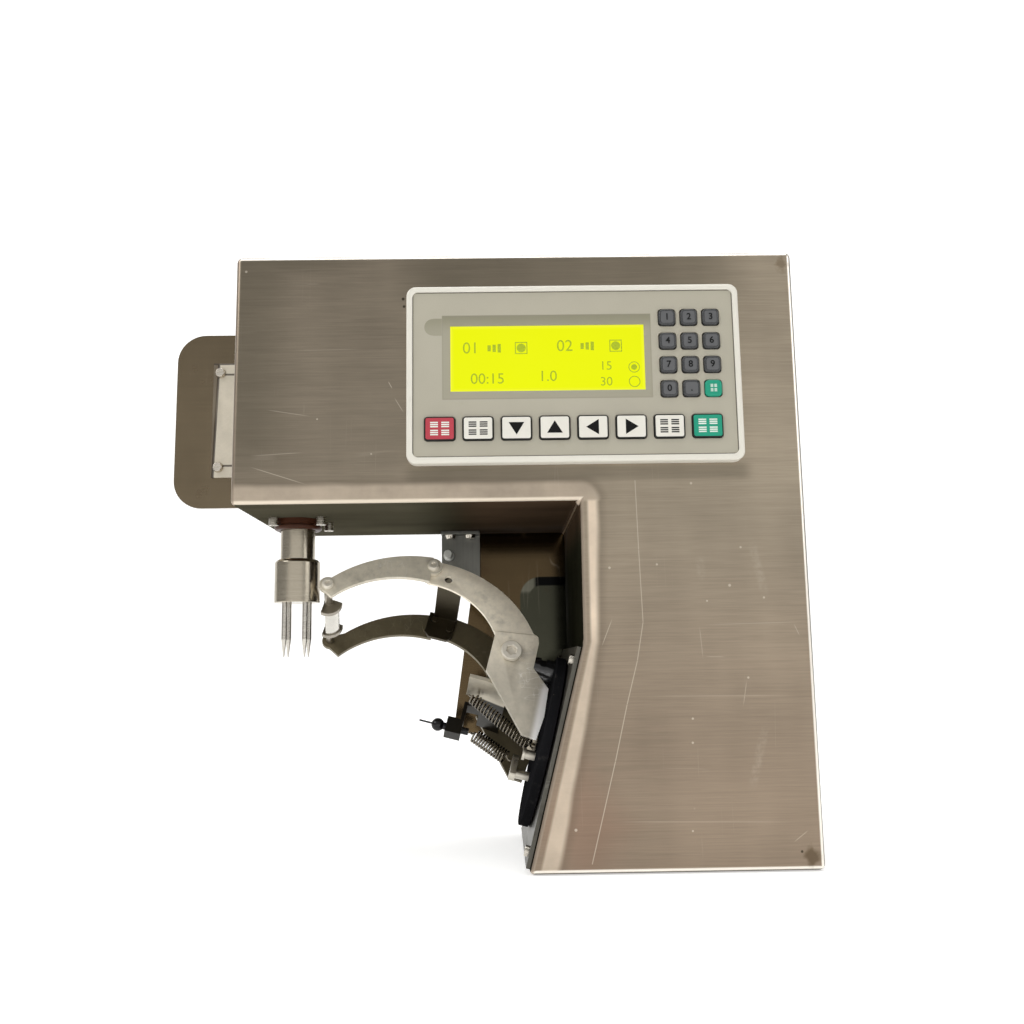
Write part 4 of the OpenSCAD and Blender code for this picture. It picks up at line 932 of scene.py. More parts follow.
@dataclass(frozen=True)
class StripSteel(Finish):
    """Pale clamp strip with a pressed line near each end; painted shade left of its border, and dark lines of
    painted shade on the pressed lines, along the left border and along the top edge.
    """

    left: float
    top: float
    middle: float
    reach: float
    name: str = "strip_steel"
    tone: Colour = (0.60, 0.55, 0.45)

    def material(self) -> bpy.types.Material:
        """Build the material.

        Returns:
            The material.
        """
        p = Paint(self.name)
        x, _, z = p.axes(p.place)
        cloud = p.noise(34.0, 4.0, 0.6)
        base = p.tint(self.tone, 1.0 + cloud.sway(0.7) + p.noise(900.0, 2.0).sway(0.12))
        # painted shade in the creases of the pressed lines
        line = abs(abs(z - self.middle) - self.reach).rise(0.0009, 0.0004)
        # painted shade left of the border line
        border = x - self.left - (z - self.middle) * 0.030 - 0.0023
        base = p.mix(border.rise(0.0002, -0.0002), base, (0.150, 0.120, 0.082))
        # painted shade lines along the border and the top edge, joined to the pressed lines
        line = line * border.rise(-0.0002, 0.0002)
        line = line.over(abs(border).rise(0.0010, 0.0005)).over((self.top - z).rise(0.0014, 0.0008))
        base = p.mix(line * 0.85, base, (0.035, 0.025, 0.018))
        smear = p.streaks((60.0, 20.0, 14.0), 2.0, 0.5).rise(0.55, 0.75)
        base = p.mix(smear * 0.4, base, (0.30, 0.26, 0.2))
        rough = 0.42 + cloud.sway(0.2)
        relief = p.bump(line * -1.0 + cloud * 0.3, 0.0002)
        return p.set(base_color=base, metallic=0.35, roughness=rough, normal=relief)


@dataclass(frozen=True)
class Paper(Finish):
    """White studio paper that keeps a little light of its own, so that it stays pale to its edges."""

    name: str = "floor_paper"
    tone: Colour = (0.80, 0.80, 0.795)

    def material(self) -> bpy.types.Material:
        """Build the material.

        Returns:
            The material.
        """
        p = Paint(self.name)
        base = p.tint(self.tone, 1.0 + p.noise(40.0, 2.0).sway(0.02))
        lamp = {"emission_color": base, "emission_strength": 0.62}
        return p.set(base_color=base, roughness=0.8, specular_ior_level=0.1, **lamp)


FINISHES: dict[str, bpy.types.Material] = {}


def finish(maker: Finish) -> bpy.types.Material:
    """The material of a finish, built once.

    Args:
        maker: the finish.

    Returns:
        Its material.
    """
    if maker.name not in FINISHES:
        FINISHES[maker.name] = maker.material()
    return FINISHES[maker.name]


FASTENER = Steel("fastener_steel", (0.60, 0.56, 0.49), Lay.TURNED_Z, 0.35, 0.26, 0.2, 0.3)
TURNED = Steel("spindle_steel", (0.44, 0.395, 0.315), Lay.TURNED_Z, 0.16, 0.22, 0.04, 0.2)
FORK = Steel("fork_steel", (0.55, 0.52, 0.47), Lay.TURNED_Z, 0.25, 0.18, 0.1, 0.2)
GREY_PLATE = Steel("plate_steel", (0.105, 0.100, 0.086), Lay.ALONG_Y, 0.4, 0.42, 0.3, 0.4)
# painted shade: the front arm darkens from the first height down to the second, in metres, by the last share
ARM_SHADE_FADE = (0.125, 0.085, 0.52)
ARM = Steel("arm_steel", (0.92, 0.84, 0.685), Lay.GROUND, 0.45, 0.42, 0.3, 0.5, 0.1, ARM_SHADE_FADE, PaintedGlare())
TIP_ARM = Steel("tip_arm_steel", (0.69, 0.635, 0.52), Lay.GROUND, 0.45, 0.42, 0.3, 0.5, 0.15)
# painted shade: the rear arm and the rear side of the tip arms are a darkened copy of the front arm's steel
SHADED_REAR_ARM = Steel("rear_arm_steel", (0.15, 0.125, 0.075), Lay.GROUND, 0.35, 0.4, 0.2, 0.4, 0.4)
# also painted shade where it stands for the rear side of the arm screws
DARK_STEEL = Steel("dark_steel", (0.075, 0.063, 0.042), Lay.GROUND, 0.4, 0.4, 0.2, 0.4)
SCREW = Steel("screw_steel", (0.74, 0.69, 0.59), Lay.GROUND, 0.3, 0.34, 0.1, 0.3, 0.25)
BRACKET = Steel("bracket_steel", (0.18, 0.178, 0.160), Lay.ALONG_Z, 0.4, 0.36, 0.3, 0.4)
PIN = Steel("pin_steel", (0.62, 0.58, 0.50), Lay.GROUND, 0.3, 0.3, 0.2, 0.3)
CARRIAGE = Steel("carriage_steel", (0.34, 0.31, 0.26), Lay.GROUND, 0.35, 0.34, 0.3, 0.35)
BLADE = Steel("blade_steel", (0.62, 0.60, 0.55), Lay.GROUND, 0.2, 0.2, 0.3, 0.15)
SPRING = Steel("spring_steel", (0.20, 0.178, 0.142), Lay.GROUND, 0.3, 0.18, 0.0, 0.3)
BEARING = Steel("bearing_steel", (0.62, 0.62, 0.60), Lay.TURNED_Z, 0.2, 0.16, 0.05, 0.1)
GEAR_ALLOY = Steel("gear_alloy", (0.42, 0.43, 0.44), Lay.TURNED_Z, 0.25, 0.38, 0.2, 0.2)
SUPPLY = Steel("supply_alloy", (0.50, 0.51, 0.51), Lay.ALONG_Z, 0.25, 0.4, 0.2, 0.2)
CAST = Plastic("cast_housing", (0.10, 0.10, 0.105), 0.55, 700.0, 0.2, 0.3, 0.5, 0.00012)
MOTOR = Plastic("motor_paint", (0.022, 0.022, 0.024), 0.36, 900.0, 0.15, 0.2, 0.1)
FRAME_WHITE = Plastic("frame_plastic", (0.70, 0.675, 0.60), 0.38, 1500.0, 0.04, 0.14)
BOX = Plastic("box_plastic", (0.60, 0.58, 0.52), 0.5, 1200.0, 0.05, 0.1)
SEAL = Plastic("seal_rubber", (0.050, 0.017, 0.008), 0.34, 700.0, 0.3, 0.3, 0.0, shine=0.12)
SENSOR = Plastic("sensor_plastic", (0.66, 0.66, 0.62), 0.4, 1400.0, 0.06, 0.25)
GLAND = Plastic("gland_plastic", (0.016, 0.016, 0.017), 0.48, 1100.0, 0.15, 0.2)
KEY_GREY = Plastic("key_grey", (0.105, 0.107, 0.111), 0.34, 1800.0, 0.10, 0.2, shine=0.35)
KEY_GREEN = Plastic("key_green", (0.020, 0.29, 0.185), 0.34, 1800.0, 0.08, 0.15, shine=0.2)
KEY_WHITE = Plastic("key_white", (0.72, 0.70, 0.63), 0.36, 1800.0, 0.04, 0.12)
# painted shade on the rounded rims of the number keys
SHADED_KEY_RIM = Plastic("key_rim", (0.040, 0.041, 0.043), 0.28, 1800.0, 0.1, 0.2, shine=0.4)
KEY_RED = Plastic("key_red", (0.44, 0.055, 0.075), 0.40, 1800.0, 0.08, 0.15, shine=0.2)
KEY_EDGE = Plastic("key_edge", (0.014, 0.014, 0.013), 0.45, 1800.0, 0.2, 0.2, shine=0.2)
INK = Plastic("ink", (0.008, 0.008, 0.008), 0.5, 1500.0, 0.2, 0.1, shine=0.1)
PALE_INK = Plastic("pale_ink", (0.72, 0.76, 0.70), 0.5, 1500.0, 0.08, 0.2)
SCREEN_INK = Plastic("screen_ink", (0.36, 0.45, 0.004), 0.4, 1500.0, 0.2, 0.1)


@dataclass
class Shape:
    """A mesh under construction, in metres in the machine's frame."""

    bm: bmesh.types.BMesh = field(default_factory=bmesh.new)

    @classmethod
    def of_node(cls, node: str) -> "Shape":
        """A merged copy of a frame node with its flat faces joined.

        Args:
            node: the node.

        Returns:
            The copy.
        """
        made = cls()
        made.bm.from_mesh(NODES[node].data)
        bmesh.ops.remove_doubles(made.bm, verts=made.bm.verts[:], dist=2e-6)
        bmesh.ops.dissolve_limit(
            made.bm,
            angle_limit=math.radians(0.5),
            use_dissolve_boundaries=False,
            verts=made.bm.verts[:],
            edges=made.bm.edges[:],
        )
        return made

    def sharp(
        self, degrees: float = 30.0, test: Callable[[Vector], bool] | None = None
    ) -> list[bmesh.types.BMEdge]:
        """Edges that turn by more than an angle.

        Args:
            degrees: the least turn.
            test: keeps an edge only if it is true of both its ends.

        Returns:
            The edges.
        """
        limit = math.radians(degrees)
        found = [e for e in self.bm.edges if len(e.link_faces) == 2 and e.calc_face_angle(0.0) > limit]
        return found if test is None else [e for e in found if all(test(v.co) for v in e.verts)]

    def bevel(self, edges: Iterable[bmesh.types.BMEdge], width: float, segments: int = 2) -> "Shape":
        """Round edges off.

        Args:
            edges: the edges.
            width: offset in millimetres.
            segments: steps across the rounding.

        Returns:
            This shape.
        """
        bmesh.ops.bevel(
            self.bm,
            geom=list(edges),
            offset=width * MM,
            offset_type="OFFSET",
            segments=segments,
            profile=0.5,
            affect="EDGES",
            material=-1,
            clamp_overlap=True,
            loop_slide=True,
        )
        return self

    def box(self, low: Sequence[float], high: Sequence[float]) -> list[bmesh.types.BMVert]:
        """Add a box.

        Args:
            low: its lowest corner.
            high: its highest corner.

        Returns:
            Its vertices.
        """
        middle = [(a + b) / 2 for a, b in zip(low, high)]
        size = [b - a for a, b in zip(low, high)]
        spot = Matrix.Translation(middle) @ Matrix.Diagonal((*size, 1.0))
        return bmesh.ops.create_cube(self.bm, size=1.0, matrix=spot)["verts"]

    def lathe(self, profile: Sequence[tuple[float, float]], spot: Matrix) -> "Shape":
        """Turn a profile about the local Z axis.

        Args:
            profile: radius and height in millimetres, from one end to the other.
            spot: where the turned shape goes.

        Returns:
            This shape.
        """
        chain = [self.bm.verts.new((r * MM, 0.0, z * MM)) for r, z in profile]
        edges = [self.bm.edges.new(pair) for pair in zip(chain, chain[1:])]
        start = len(self.bm.verts) - len(chain)
        bmesh.ops.spin(
            self.bm,
            geom=chain + edges,
            cent=(0, 0, 0),
            axis=(0, 0, 1),
            dvec=(0, 0, 0),
            angle=math.tau,
            steps=TURN_STEPS,
            use_merge=True,
        )
        self.bm.verts.ensure_lookup_table()
        new = self.bm.verts[start:]
        bmesh.ops.transform(self.bm, matrix=spot, verts=new)
        bmesh.ops.remove_doubles(self.bm, verts=new, dist=1e-6)
        self.outward()
        return self

    def flat(self, points: Sequence[Sequence[float]], mark: int = 0) -> bmesh.types.BMFace:
        """Add one flat face.

        Args:
            points: its corners in order.
            mark: its material number.

        Returns:
            The face.
        """
        made = self.bm.faces.new([self.bm.verts.new(q) for q in points])
        made.material_index = mark
        return made

    def outward(self) -> None:
        """Turn every face's normal outwards."""
        bmesh.ops.recalc_face_normals(self.bm, faces=self.bm.faces[:])

    def bar(self, middle: Point, half_w: float, half_h: float, mark: int = 0) -> None:
        """Add an upright rectangle that faces the viewer.

        Args:
            middle: its middle.
            half_w: half its width in metres.
            half_h: half its height in metres.
            mark: its material number.
        """
        x, y, z = middle
        corners = ((-half_w, -half_h), (half_w, -half_h), (half_w, half_h), (-half_w, half_h))
        self.flat([(x + a, y, z + b) for a, b in corners], mark)

    def move(self, grown: Sequence[object], step: Point) -> None:
        """Move the vertices among freshly made parts of the mesh."""
        corners = [g for g in grown if isinstance(g, bmesh.types.BMVert)]
        bmesh.ops.translate(self.bm, vec=step, verts=corners)

    def words(self, text: str, height: float, middle: Point, mark: int, thin: float = 0.0) -> "Shape":
        """Add flat figures that face the viewer.

        Args:
            text: digits or signs.
            height: type size in millimetres.
            middle: their middle.
            mark: the material number.
            thin: outline change in millimetres.

        Returns:
            This shape.
        """
        curve = bpy.data.curves.new("figures", "FONT")
        curve.body = text
        curve.size = height * MM
        curve.align_x = "CENTER"
        curve.align_y = "CENTER"
        curve.offset = thin * MM
        mesh = mesh_of(curve)
        mesh.transform(Matrix.Translation(middle) @ Matrix.Rotation(math.pi / 2, 4, "X"))
        for polygon in mesh.polygons:
            polygon.material_index = mark
        self.bm.from_mesh(mesh)
        bpy.data.meshes.remove(mesh)
        return self

    def piece(
        self, name: str, *materials: bpy.types.Material, smooth: float = SMOOTH_DEGREES
    ) -> bpy.types.Object:
        """Make the shape an object.

        Args:
            name: the piece's name.
            materials: its materials in order.
            smooth: edges that turn less than this are shaded smooth.

        Returns:
            The object, at the origin.
        """
        mesh = bpy.data.meshes.new(name)
        self.bm.to_mesh(mesh)
        self.bm.free()
        for material in materials:
            mesh.materials.append(material)
        mesh.shade_smooth()
        mesh.set_sharp_from_angle(angle=math.radians(smooth))
        made = bpy.data.objects.new(name, mesh)
        bpy.context.scene.collection.objects.link(made)
        settle(made, "WEIGHTED_NORMAL", keep_sharp=True, weight=50)
        return made


def mesh_of(curve: bpy.types.Curve) -> bpy.types.Mesh:
    """Turn a curve or text into a mesh and drop the curve.

    Args:
        curve: the curve.

    Returns:
        Its mesh.
    """
    holder = bpy.data.objects.new(curve.name, curve)
    bpy.context.scene.collection.objects.link(holder)
    bpy.context.view_layer.update()
    made = bpy.data.meshes.new_from_object(holder.evaluated_get(bpy.context.evaluated_depsgraph_get()))
    bpy.data.objects.remove(holder)
    bpy.data.curves.remove(curve)
    return made


def settle(piece: bpy.types.Object, kind: str, **settings: object) -> None:
    """Run one modifier on a piece and keep its result as the mesh.

    Args:
        piece: the piece.
        kind: the modifier's type.
        settings: its properties.
    """
    step = piece.modifiers.new(kind.lower(), kind)
    for key, value in settings.items():
        setattr(step, key, value)
    bpy.context.view_layer.update()
    made = bpy.data.meshes.new_from_object(piece.evaluated_get(bpy.context.evaluated_depsgraph_get()))
    piece.modifiers.clear()
    old, piece.data = piece.data, made
    made.name = piece.name
    bpy.data.meshes.remove(old)


NODES: dict[str, bpy.types.Object] = {}
BODY_OF: dict[str, str] = {}
SLOT_OF: dict[str, str] = {}


def show(piece: bpy.types.Object, body: str, slot: str, *nodes: str) -> bpy.types.Object:
    """Put a piece on a body in place of frame nodes.

    Args:
        piece: the finished piece.
        body: the body that it moves with.
        slot: the record's finish that it stands for; not used.
        nodes: the frame nodes that it replaces.

    Returns:
        The piece.
    """
    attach(piece, body)
    if nodes:
        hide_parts(*nodes)
    LOG.info("%s on %s, %d faces", piece.name, body, len(piece.data.polygons))
    return piece


def refine(node: str, maker: Finish, edge: float = 0.3, segments: int = 2) -> bpy.types.Object:
    """Show a frame node with softened edges and a finish.

    Args:
        node: the node.
        maker: its finish.
        edge: rounding of its sharp edges in millimetres.
        segments: steps across the rounding.

    Returns:
        The piece.
    """
    shape = Shape.of_node(node)
    shape.bevel(shape.sharp(), edge, segments)
    return show(shape.piece(node + "_piece", finish(maker)), BODY_OF[node], SLOT_OF[node], node)


def coat(node: str, maker: Finish) -> None:
    """Give a frame node a finish and keep its shape.

    Args:
        node: the node.
        maker: its finish.
    """
    NODES[node].data.materials.clear()
    NODES[node].data.materials.append(finish(maker))
    LOG.info("%s keeps its shape", node)


def cut(piece: bpy.types.Object, tool: bpy.types.Object) -> None:
    """Cut one closed mesh out of another and drop the tool.

    Args:
        piece: what is cut.
        tool: what is taken away.
    """
    settle(piece, "BOOLEAN", operation="DIFFERENCE", solver="EXACT", object=tool)
    bpy.data.objects.remove(tool)
    piece.data.set_sharp_from_angle(angle=math.radians(SMOOTH_DEGREES))
    settle(piece, "WEIGHTED_NORMAL", keep_sharp=True, weight=50)


@dataclass
class Housing:
    """Folded shell, back plate, strip and screws."""

    width: float = 294.5
    height: float = 317.0
    depth: float = 125.0
    under: float = 183.5
    foot: float = 145.0
    column: float = 116.0
    slant: float = 112.0
    sheet: float = 1.5
    fold: float = 3.0
    foot_hole: float = 6.5
    foot_pitch: tuple[float, float] = (100.0, 90.0)
    wall_reach: float = 40.0
    least_facing: float = 0.85

    def outline(self) -> list[tuple[float, float]]:
        """Corners of the housing seen from the front.

        Returns:
            X and Z of each in millimetres.
        """
        right = self.foot / 2
        inner = right - self.column
        left = right - self.width
        return [
            (left, self.height),
            (right, self.height),
            (right, 0.0),
            (-right, 0.0),
            (inner, self.slant),
            (inner, self.under),
            (left, self.under),
        ]

    def skin(self) -> bpy.types.Object:
        """The folded sheet with round bends, open at the back.

        Returns:
            The piece.
        """
        shape = Shape()
        front, back = -self.depth / 2 * MM, self.depth / 2 * MM
        face = shape.flat([(x * MM, front, z * MM) for x, z in self.outline()])
        grown = bmesh.ops.extrude_face_region(shape.bm, geom=[face])["geom"]
        shape.move(grown, (0.0, back - front, 0.0))
        shape.outward()
        rear = [f for f in shape.bm.faces if all(v.co.y > back - 1e-6 for v in f.verts)]
        bmesh.ops.delete(shape.bm, geom=rear, context="FACES_ONLY")
        bends = [e for e in shape.bm.edges if len(e.link_faces) == 2]
        shape.bevel(bends, self.fold, 5)
        shape.outward()
        outward = max(shape.bm.faces, key=lambda f: f.calc_area() if abs(f.normal.y) > 0.9 else 0.0)
        if outward.normal.y > 0:
            bmesh.ops.reverse_faces(shape.bm, faces=shape.bm.faces[:])
        bmesh.ops.solidify(shape.bm, geom=shape.bm.faces[:], thickness=self.sheet * MM)
        wall_left = self.foot / 2 - self.column - self.wall_reach
        for f in shape.bm.faces:
            f.normal_update()
            middle = f.calc_center_median()
            under = abs(f.normal.z) > self.least_facing and abs(middle.z / MM - self.under) < 2 * self.sheet
            inside = middle.x / MM > wall_left and middle.z / MM < self.under
            wall = f.normal.x < -self.least_facing and inside
            f.material_index = 1 if under or wall else 0
        piece = shape.piece("housing_skin", finish(HousingSteel()), finish(ShadedSteel()), smooth=30.0)
        tool = Shape()
        for sx in (-1, 1):
            for sy in (-1, 1):
                x, y = sx * self.foot_pitch[0] / 2 * MM, sy * self.foot_pitch[1] / 2 * MM
                radius = self.foot_hole / 2 * MM
                bmesh.ops.create_cone(
                    tool.bm,
                    cap_ends=True,
                    segments=32,
                    radius1=radius,
                    radius2=radius,
                    depth=0.02,
                    matrix=Matrix.Translation((x, y, 0.0)),
                )
        cut(piece, tool.piece("hole_tool"))
        return show(piece, "frame", "shell_steel", "front_shell")

    def build(self) -> None:
        """Make and dress every piece of the housing."""
        self.skin()
        refine("back_plate", BackSteel(), 0.5)
        low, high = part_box("clamp_strip")
        line_reach = (high.z - low.z) / 2 - 0.0075
        refine("clamp_strip", StripSteel(low.x, high.z, (low.z + high.z) / 2, line_reach), 0.3)
        refine("cover_screws", FASTENER, 0.35)
        refine("cable_gland", GLAND, 0.6)
        refine("power_supply", SUPPLY, 0.8)


class KeyLook(Enum):
    """Finish of a key's cap, its edge and its print."""

    NUMBER = (KEY_GREY, SHADED_KEY_RIM, INK)
    SEND = (KEY_GREEN, KEY_GREEN, PALE_INK)
    PLAIN = (KEY_WHITE, KEY_EDGE, INK)
    STOP = (KEY_RED, KEY_EDGE, PALE_INK)
    START = (KEY_GREEN, KEY_EDGE, PALE_INK)


@dataclass
class Display:
    """Frame, overlay, screen, keys and the box behind."""

    rim_round: float = 1.5
    inner_round: float = 0.25
    lip: float = 0.8
    corner: float = 1.6
    cap_line: float = 0.15
    bar_margin: tuple[float, float] = (2.6, 2.2)
    ink_gap: float = 0.02
    number_corner: float = 2.4
    number_edge: float = 1.1
    row_edge: float = 0.5
    digit_size: float = 4.8
    digit_weight: float = 0.12
    arrow_shape: tuple[tuple[float, float], ...] = ((-2.9, 4.0), (-2.9, -4.0), (3.6, 0.0))
    screen_margin: float = 2.0
    screen_low: Point = (0.0, 0.0, 0.0)
    screen_high: Point = (0.0, 0.0, 0.0)

    def measure(self) -> None:
        """Find the screen's window from the frame's own box."""
        low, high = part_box("lcd_module")
        margin = self.screen_margin * MM
        self.screen_low = (low.x + margin, low.y, low.z + margin)
        self.screen_high = (high.x - margin, low.y, high.z - margin)

    def bezel(self) -> None:
        """The white frame with a generous outer rounding."""
        low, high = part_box("display_frame")
        shape = Shape.of_node("display_frame")

        def outer(v: Vector) -> bool:
            """On the front rim of the frame's outside."""
            side = min(abs(v.x - low.x), abs(v.x - high.x), abs(v.z - low.z), abs(v.z - high.z))
            return abs(v.y - low.y) < 1e-5 and side < 0.0021

        shape.bevel(shape.sharp(30.0, outer), self.rim_round, 4)
        shape.bevel(shape.sharp(50.0, lambda v: v.y < low.y + 0.0009), self.inner_round, 2)
        piece = shape.piece("display_frame_piece", finish(FRAME_WHITE))
        show(piece, "frame", "frame_plastic", "display_frame")

    def marks(self) -> None:
        """Figures, boxes, bars and dots on the lit screen."""
        shape = Shape()
        left, right = self.screen_low[0], self.screen_high[0]
        low, high = self.screen_low[2], self.screen_high[2]
        wide, tall = right - left, high - low
        y = self.screen_low[1] - 0.00004

        def bar(u: float, v: float, w: float, h: float) -> None:
            """A filled bar at a share of the screen, sized in millimetres."""
            shape.bar((left + u * wide, y, low + v * tall), w * MM / 2, h * MM / 2)

        def ring(u: float, v: float, size: float, filled: bool, sides: int) -> None:
            """An outlined box or circle.

            Args:
                u: share of the screen's width.
                v: share of its height.
                size: radius in millimetres.
                filled: whether it has a filled heart.
                sides: corners, 4 for a box.
            """
            upright = Matrix.Rotation(math.pi / 2, 4, "X") @ Matrix.Rotation(math.pi / sides, 4, "Z")
            spot = Matrix.Translation((left + u * wide, y, low + v * tall)) @ upright

            def circle(segments: int, radius: float, cap: bool) -> list[bmesh.types.BMVert]:
                """Vertices of a circle, radius in millimetres."""
                made = bmesh.ops.create_circle(
                    shape.bm, cap_ends=cap, segments=segments, radius=radius * MM, matrix=spot
                )
                return made["verts"]

            outer, inner = circle(sides, size, False), circle(sides, size * 0.84, False)
            hoops = [e for v0 in (outer, inner) for e in {e for q in v0 for e in q.link_edges}]
            bmesh.ops.bridge_loops(shape.bm, edges=hoops)
            if filled:
                circle(14, size * 0.52, True)

        def figures(text: str, u: float, v: float, size: float) -> None:
            """Digits or signs at a share of the screen."""
            shape.words(text, size, (left + u * wide, y, low + v * tall), 0)

        figures("01", 0.105, 0.66, 8.6)
        figures("02", 0.59, 0.68, 8.6)
        for k in range(3):
            bar(0.20 + k * 0.026, 0.66, 1.7, 3.2 + 0.7 * k)
            bar(0.68 + k * 0.026, 0.68, 1.7, 3.2 + 0.7 * k)
        ring(0.365, 0.66, 4.6, True, 4)
        ring(0.853, 0.68, 4.6, True, 4)
        figures("1.0", 0.50, 0.22, 8.0)
        figures("00:15", 0.19, 0.19, 8.0)
        figures("15", 0.80, 0.37, 6.6)
        figures("30", 0.80, 0.13, 6.6)
        ring(0.945, 0.35, 3.0, True, 24)
        ring(0.945, 0.13, 3.0, False, 24)
        shape.outward()
        show(shape.piece("screen_marks", finish(SCREEN_INK)), "frame", "lcd_screen")

    def key(self, node: str, look: KeyLook, text: str = "", arrow: float | None = None) -> None:
        """One key with a rounded cap and its print.

        Args:
            node: the frame node that it replaces.
            look: its finishes.
            text: digits printed on it.
            arrow: direction of a printed arrow in degrees, or none.
        """
        low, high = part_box(node)
        lip = self.lip * MM
        shape = Shape()
        x0, x1, z0, z1 = low.x + lip, high.x - lip, low.z + lip, high.z - lip
        shape.box((x0, low.y, z0), (x1, high.y, z1))
        upright = [e for e in shape.bm.edges if abs(e.verts[0].co.y - e.verts[1].co.y) > 1e-4]
        small = look in (KeyLook.NUMBER, KeyLook.SEND)
        shape.bevel(upright, self.number_corner if small else self.corner, 5)
        soft = self.number_edge if small else self.row_edge
        shape.bevel(shape.sharp(50.0, lambda v: v.y < low.y + 1e-5), soft, 4)
        face = min(shape.bm.faces, key=lambda f: (round(f.calc_center_median().y, 6), -f.calc_area()))
        bmesh.ops.inset_region(shape.bm, faces=[face], thickness=self.cap_line * MM, depth=0.0)
        for f in shape.bm.faces:
            f.material_index = 1
        face.material_index = 0
        y = low.y - self.ink_gap * MM
        cx, cz = (x0 + x1) / 2, (z0 + z1) / 2
        if text:
            shape.words(text, self.digit_size, (cx, y, cz), 2, self.digit_weight)
        if arrow is not None:
            turn = Matrix.Rotation(math.radians(arrow), 2)
            corners = [turn @ Vector(q) for q in self.arrow_shape]
            shape.flat([(cx + q.x * MM, y, cz + q.y * MM) for q in corners], 2)
        if not text and arrow is None:
            wide, tall = (x1 - x0) / 2 - self.bar_margin[0] * MM, (z1 - z0) / 2 - self.bar_margin[1] * MM
            for side in (-1, 1):
                for level in (-1, 1):
                    mid_x, mid_z = cx + side * wide * 0.54, cz + level * tall * 0.52
                    for row in (-1, 0, 1):
                        middle = (mid_x, y, mid_z + row * tall * 0.27)
                        shape.bar(middle, wide * 0.38, tall * 0.085, 2)
        bmesh.ops.recalc_face_normals(shape.bm, faces=[f for f in shape.bm.faces if f.material_index < 2])
        for f in shape.bm.faces:
            f.normal_update()
            if f.material_index == 2 and f.normal.y > 0:
                f.normal_flip()
        piece = shape.piece(node + "_cap", *[finish(m) for m in look.value])
        show(piece, node, SLOT_OF[node], node)

    def build(self) -> None:
        """Make and dress every piece of the display."""
        self.measure()
        self.bezel()
        low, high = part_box("display_overlay")
        coat("display_overlay", PrintedFilm(self.screen_low, self.screen_high, tuple(low), tuple(high)))
        refine("lcd_module", LitScreen(self.screen_low, self.screen_high), 0.1, 1)
        refine("display_box", BOX, 0.8)
        self.marks()
        for digit in "1234567890":
            self.key("key_" + digit, KeyLook.NUMBER, digit)
        self.key("key_dot", KeyLook.NUMBER, ".")
        self.key("key_enter", KeyLook.SEND)
        self.key("key_stop", KeyLook.STOP)
        self.key("key_menu", KeyLook.PLAIN)
        for name, turn in (("down", 270.0), ("up", 90.0), ("left", 180.0), ("right", 0.0)):
            self.key("key_" + name, KeyLook.PLAIN, arrow=turn)
        self.key("key_set", KeyLook.PLAIN)
        self.key("key_start", KeyLook.START)


@dataclass
class Spindle:
    """Seal, shaft, chuck, fork and the drive above them."""

    seal_lip: float = 1.2
    seal_groove: float = 0.7
    seal_chamfer: float = 0.8
    seal_gap: float = 0.06

    def seal(self) -> None:
        """The brown seal with a rolled lip and a groove."""
        low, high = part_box("shaft_seal")
        bore_low, bore_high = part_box("spindle_shaft")
        r, bore = (high.x - low.x) / 2 / MM, (bore_high.x - bore_low.x) / 2 / MM + self.seal_gap
        h, foot = (high.z - low.z) / MM, r - self.seal_groove
        spot = Matrix.Translation(((low.x + high.x) / 2, (low.y + high.y) / 2, low.z))
        lip, chamfer = self.seal_lip, self.seal_chamfer
        groove = [(r, h * 0.55), (foot, h * 0.5), (foot, h * 0.42), (r, h * 0.36)]
        rolled = [(r, lip), (r - 0.4, lip * 0.4), (r - lip, 0.0)]
        inside = [(bore + chamfer, 0.0), (bore, chamfer), (bore, h)]
        shape = Shape().lathe([(bore, h), (r, h), *groove, *rolled, *inside], spot)
        show(shape.piece("seal_ring", finish(SEAL)), "frame", "seal_rubber", "shaft_seal")

    def build(self) -> None:
        """Make and dress every piece of the spindle."""
        self.seal()
        refine("chuck", TURNED, 0.5, 3)
        refine("spindle_shaft", TURNED, 0.4, 2)
        refine("fruit_fork", FORK, 0.15)
        refine("frame_bolts", FASTENER, 0.45, 3)
        refine("bearing_housing", CAST, 0.6)
        refine("spindle_bearings", BEARING, 0.4)
        refine("spindle_gearbox", GEAR_ALLOY, 0.6)
        refine("spindle_motor", MOTOR, 0.6)


@dataclass
class SwingDrive:
    """Plate, disc, posts, pin and the drive behind the slanted wall."""

    def build(self) -> None:
        """Dress every piece of the swing drive."""
        refine("swing_plate", GREY_PLATE, 0.4)
        refine("swing_disc", OxideSteel("disc_oxide", rough=0.5, metal=0.0, shine=0.0), 0.4)
        refine("arm_posts", OxideSteel("post_oxide", rough=0.12, metal=0.0, shine=1.0), 0.5, 3)
        refine("pivot_pin", SCREW, 0.6, 3)
        refine("spring_anchors", PIN, 0.5, 2)
        refine("swing_shaft", TURNED, 0.5)
        refine("swing_gearbox", CAST, 1.0)
        refine("swing_motor", MOTOR, 0.8)


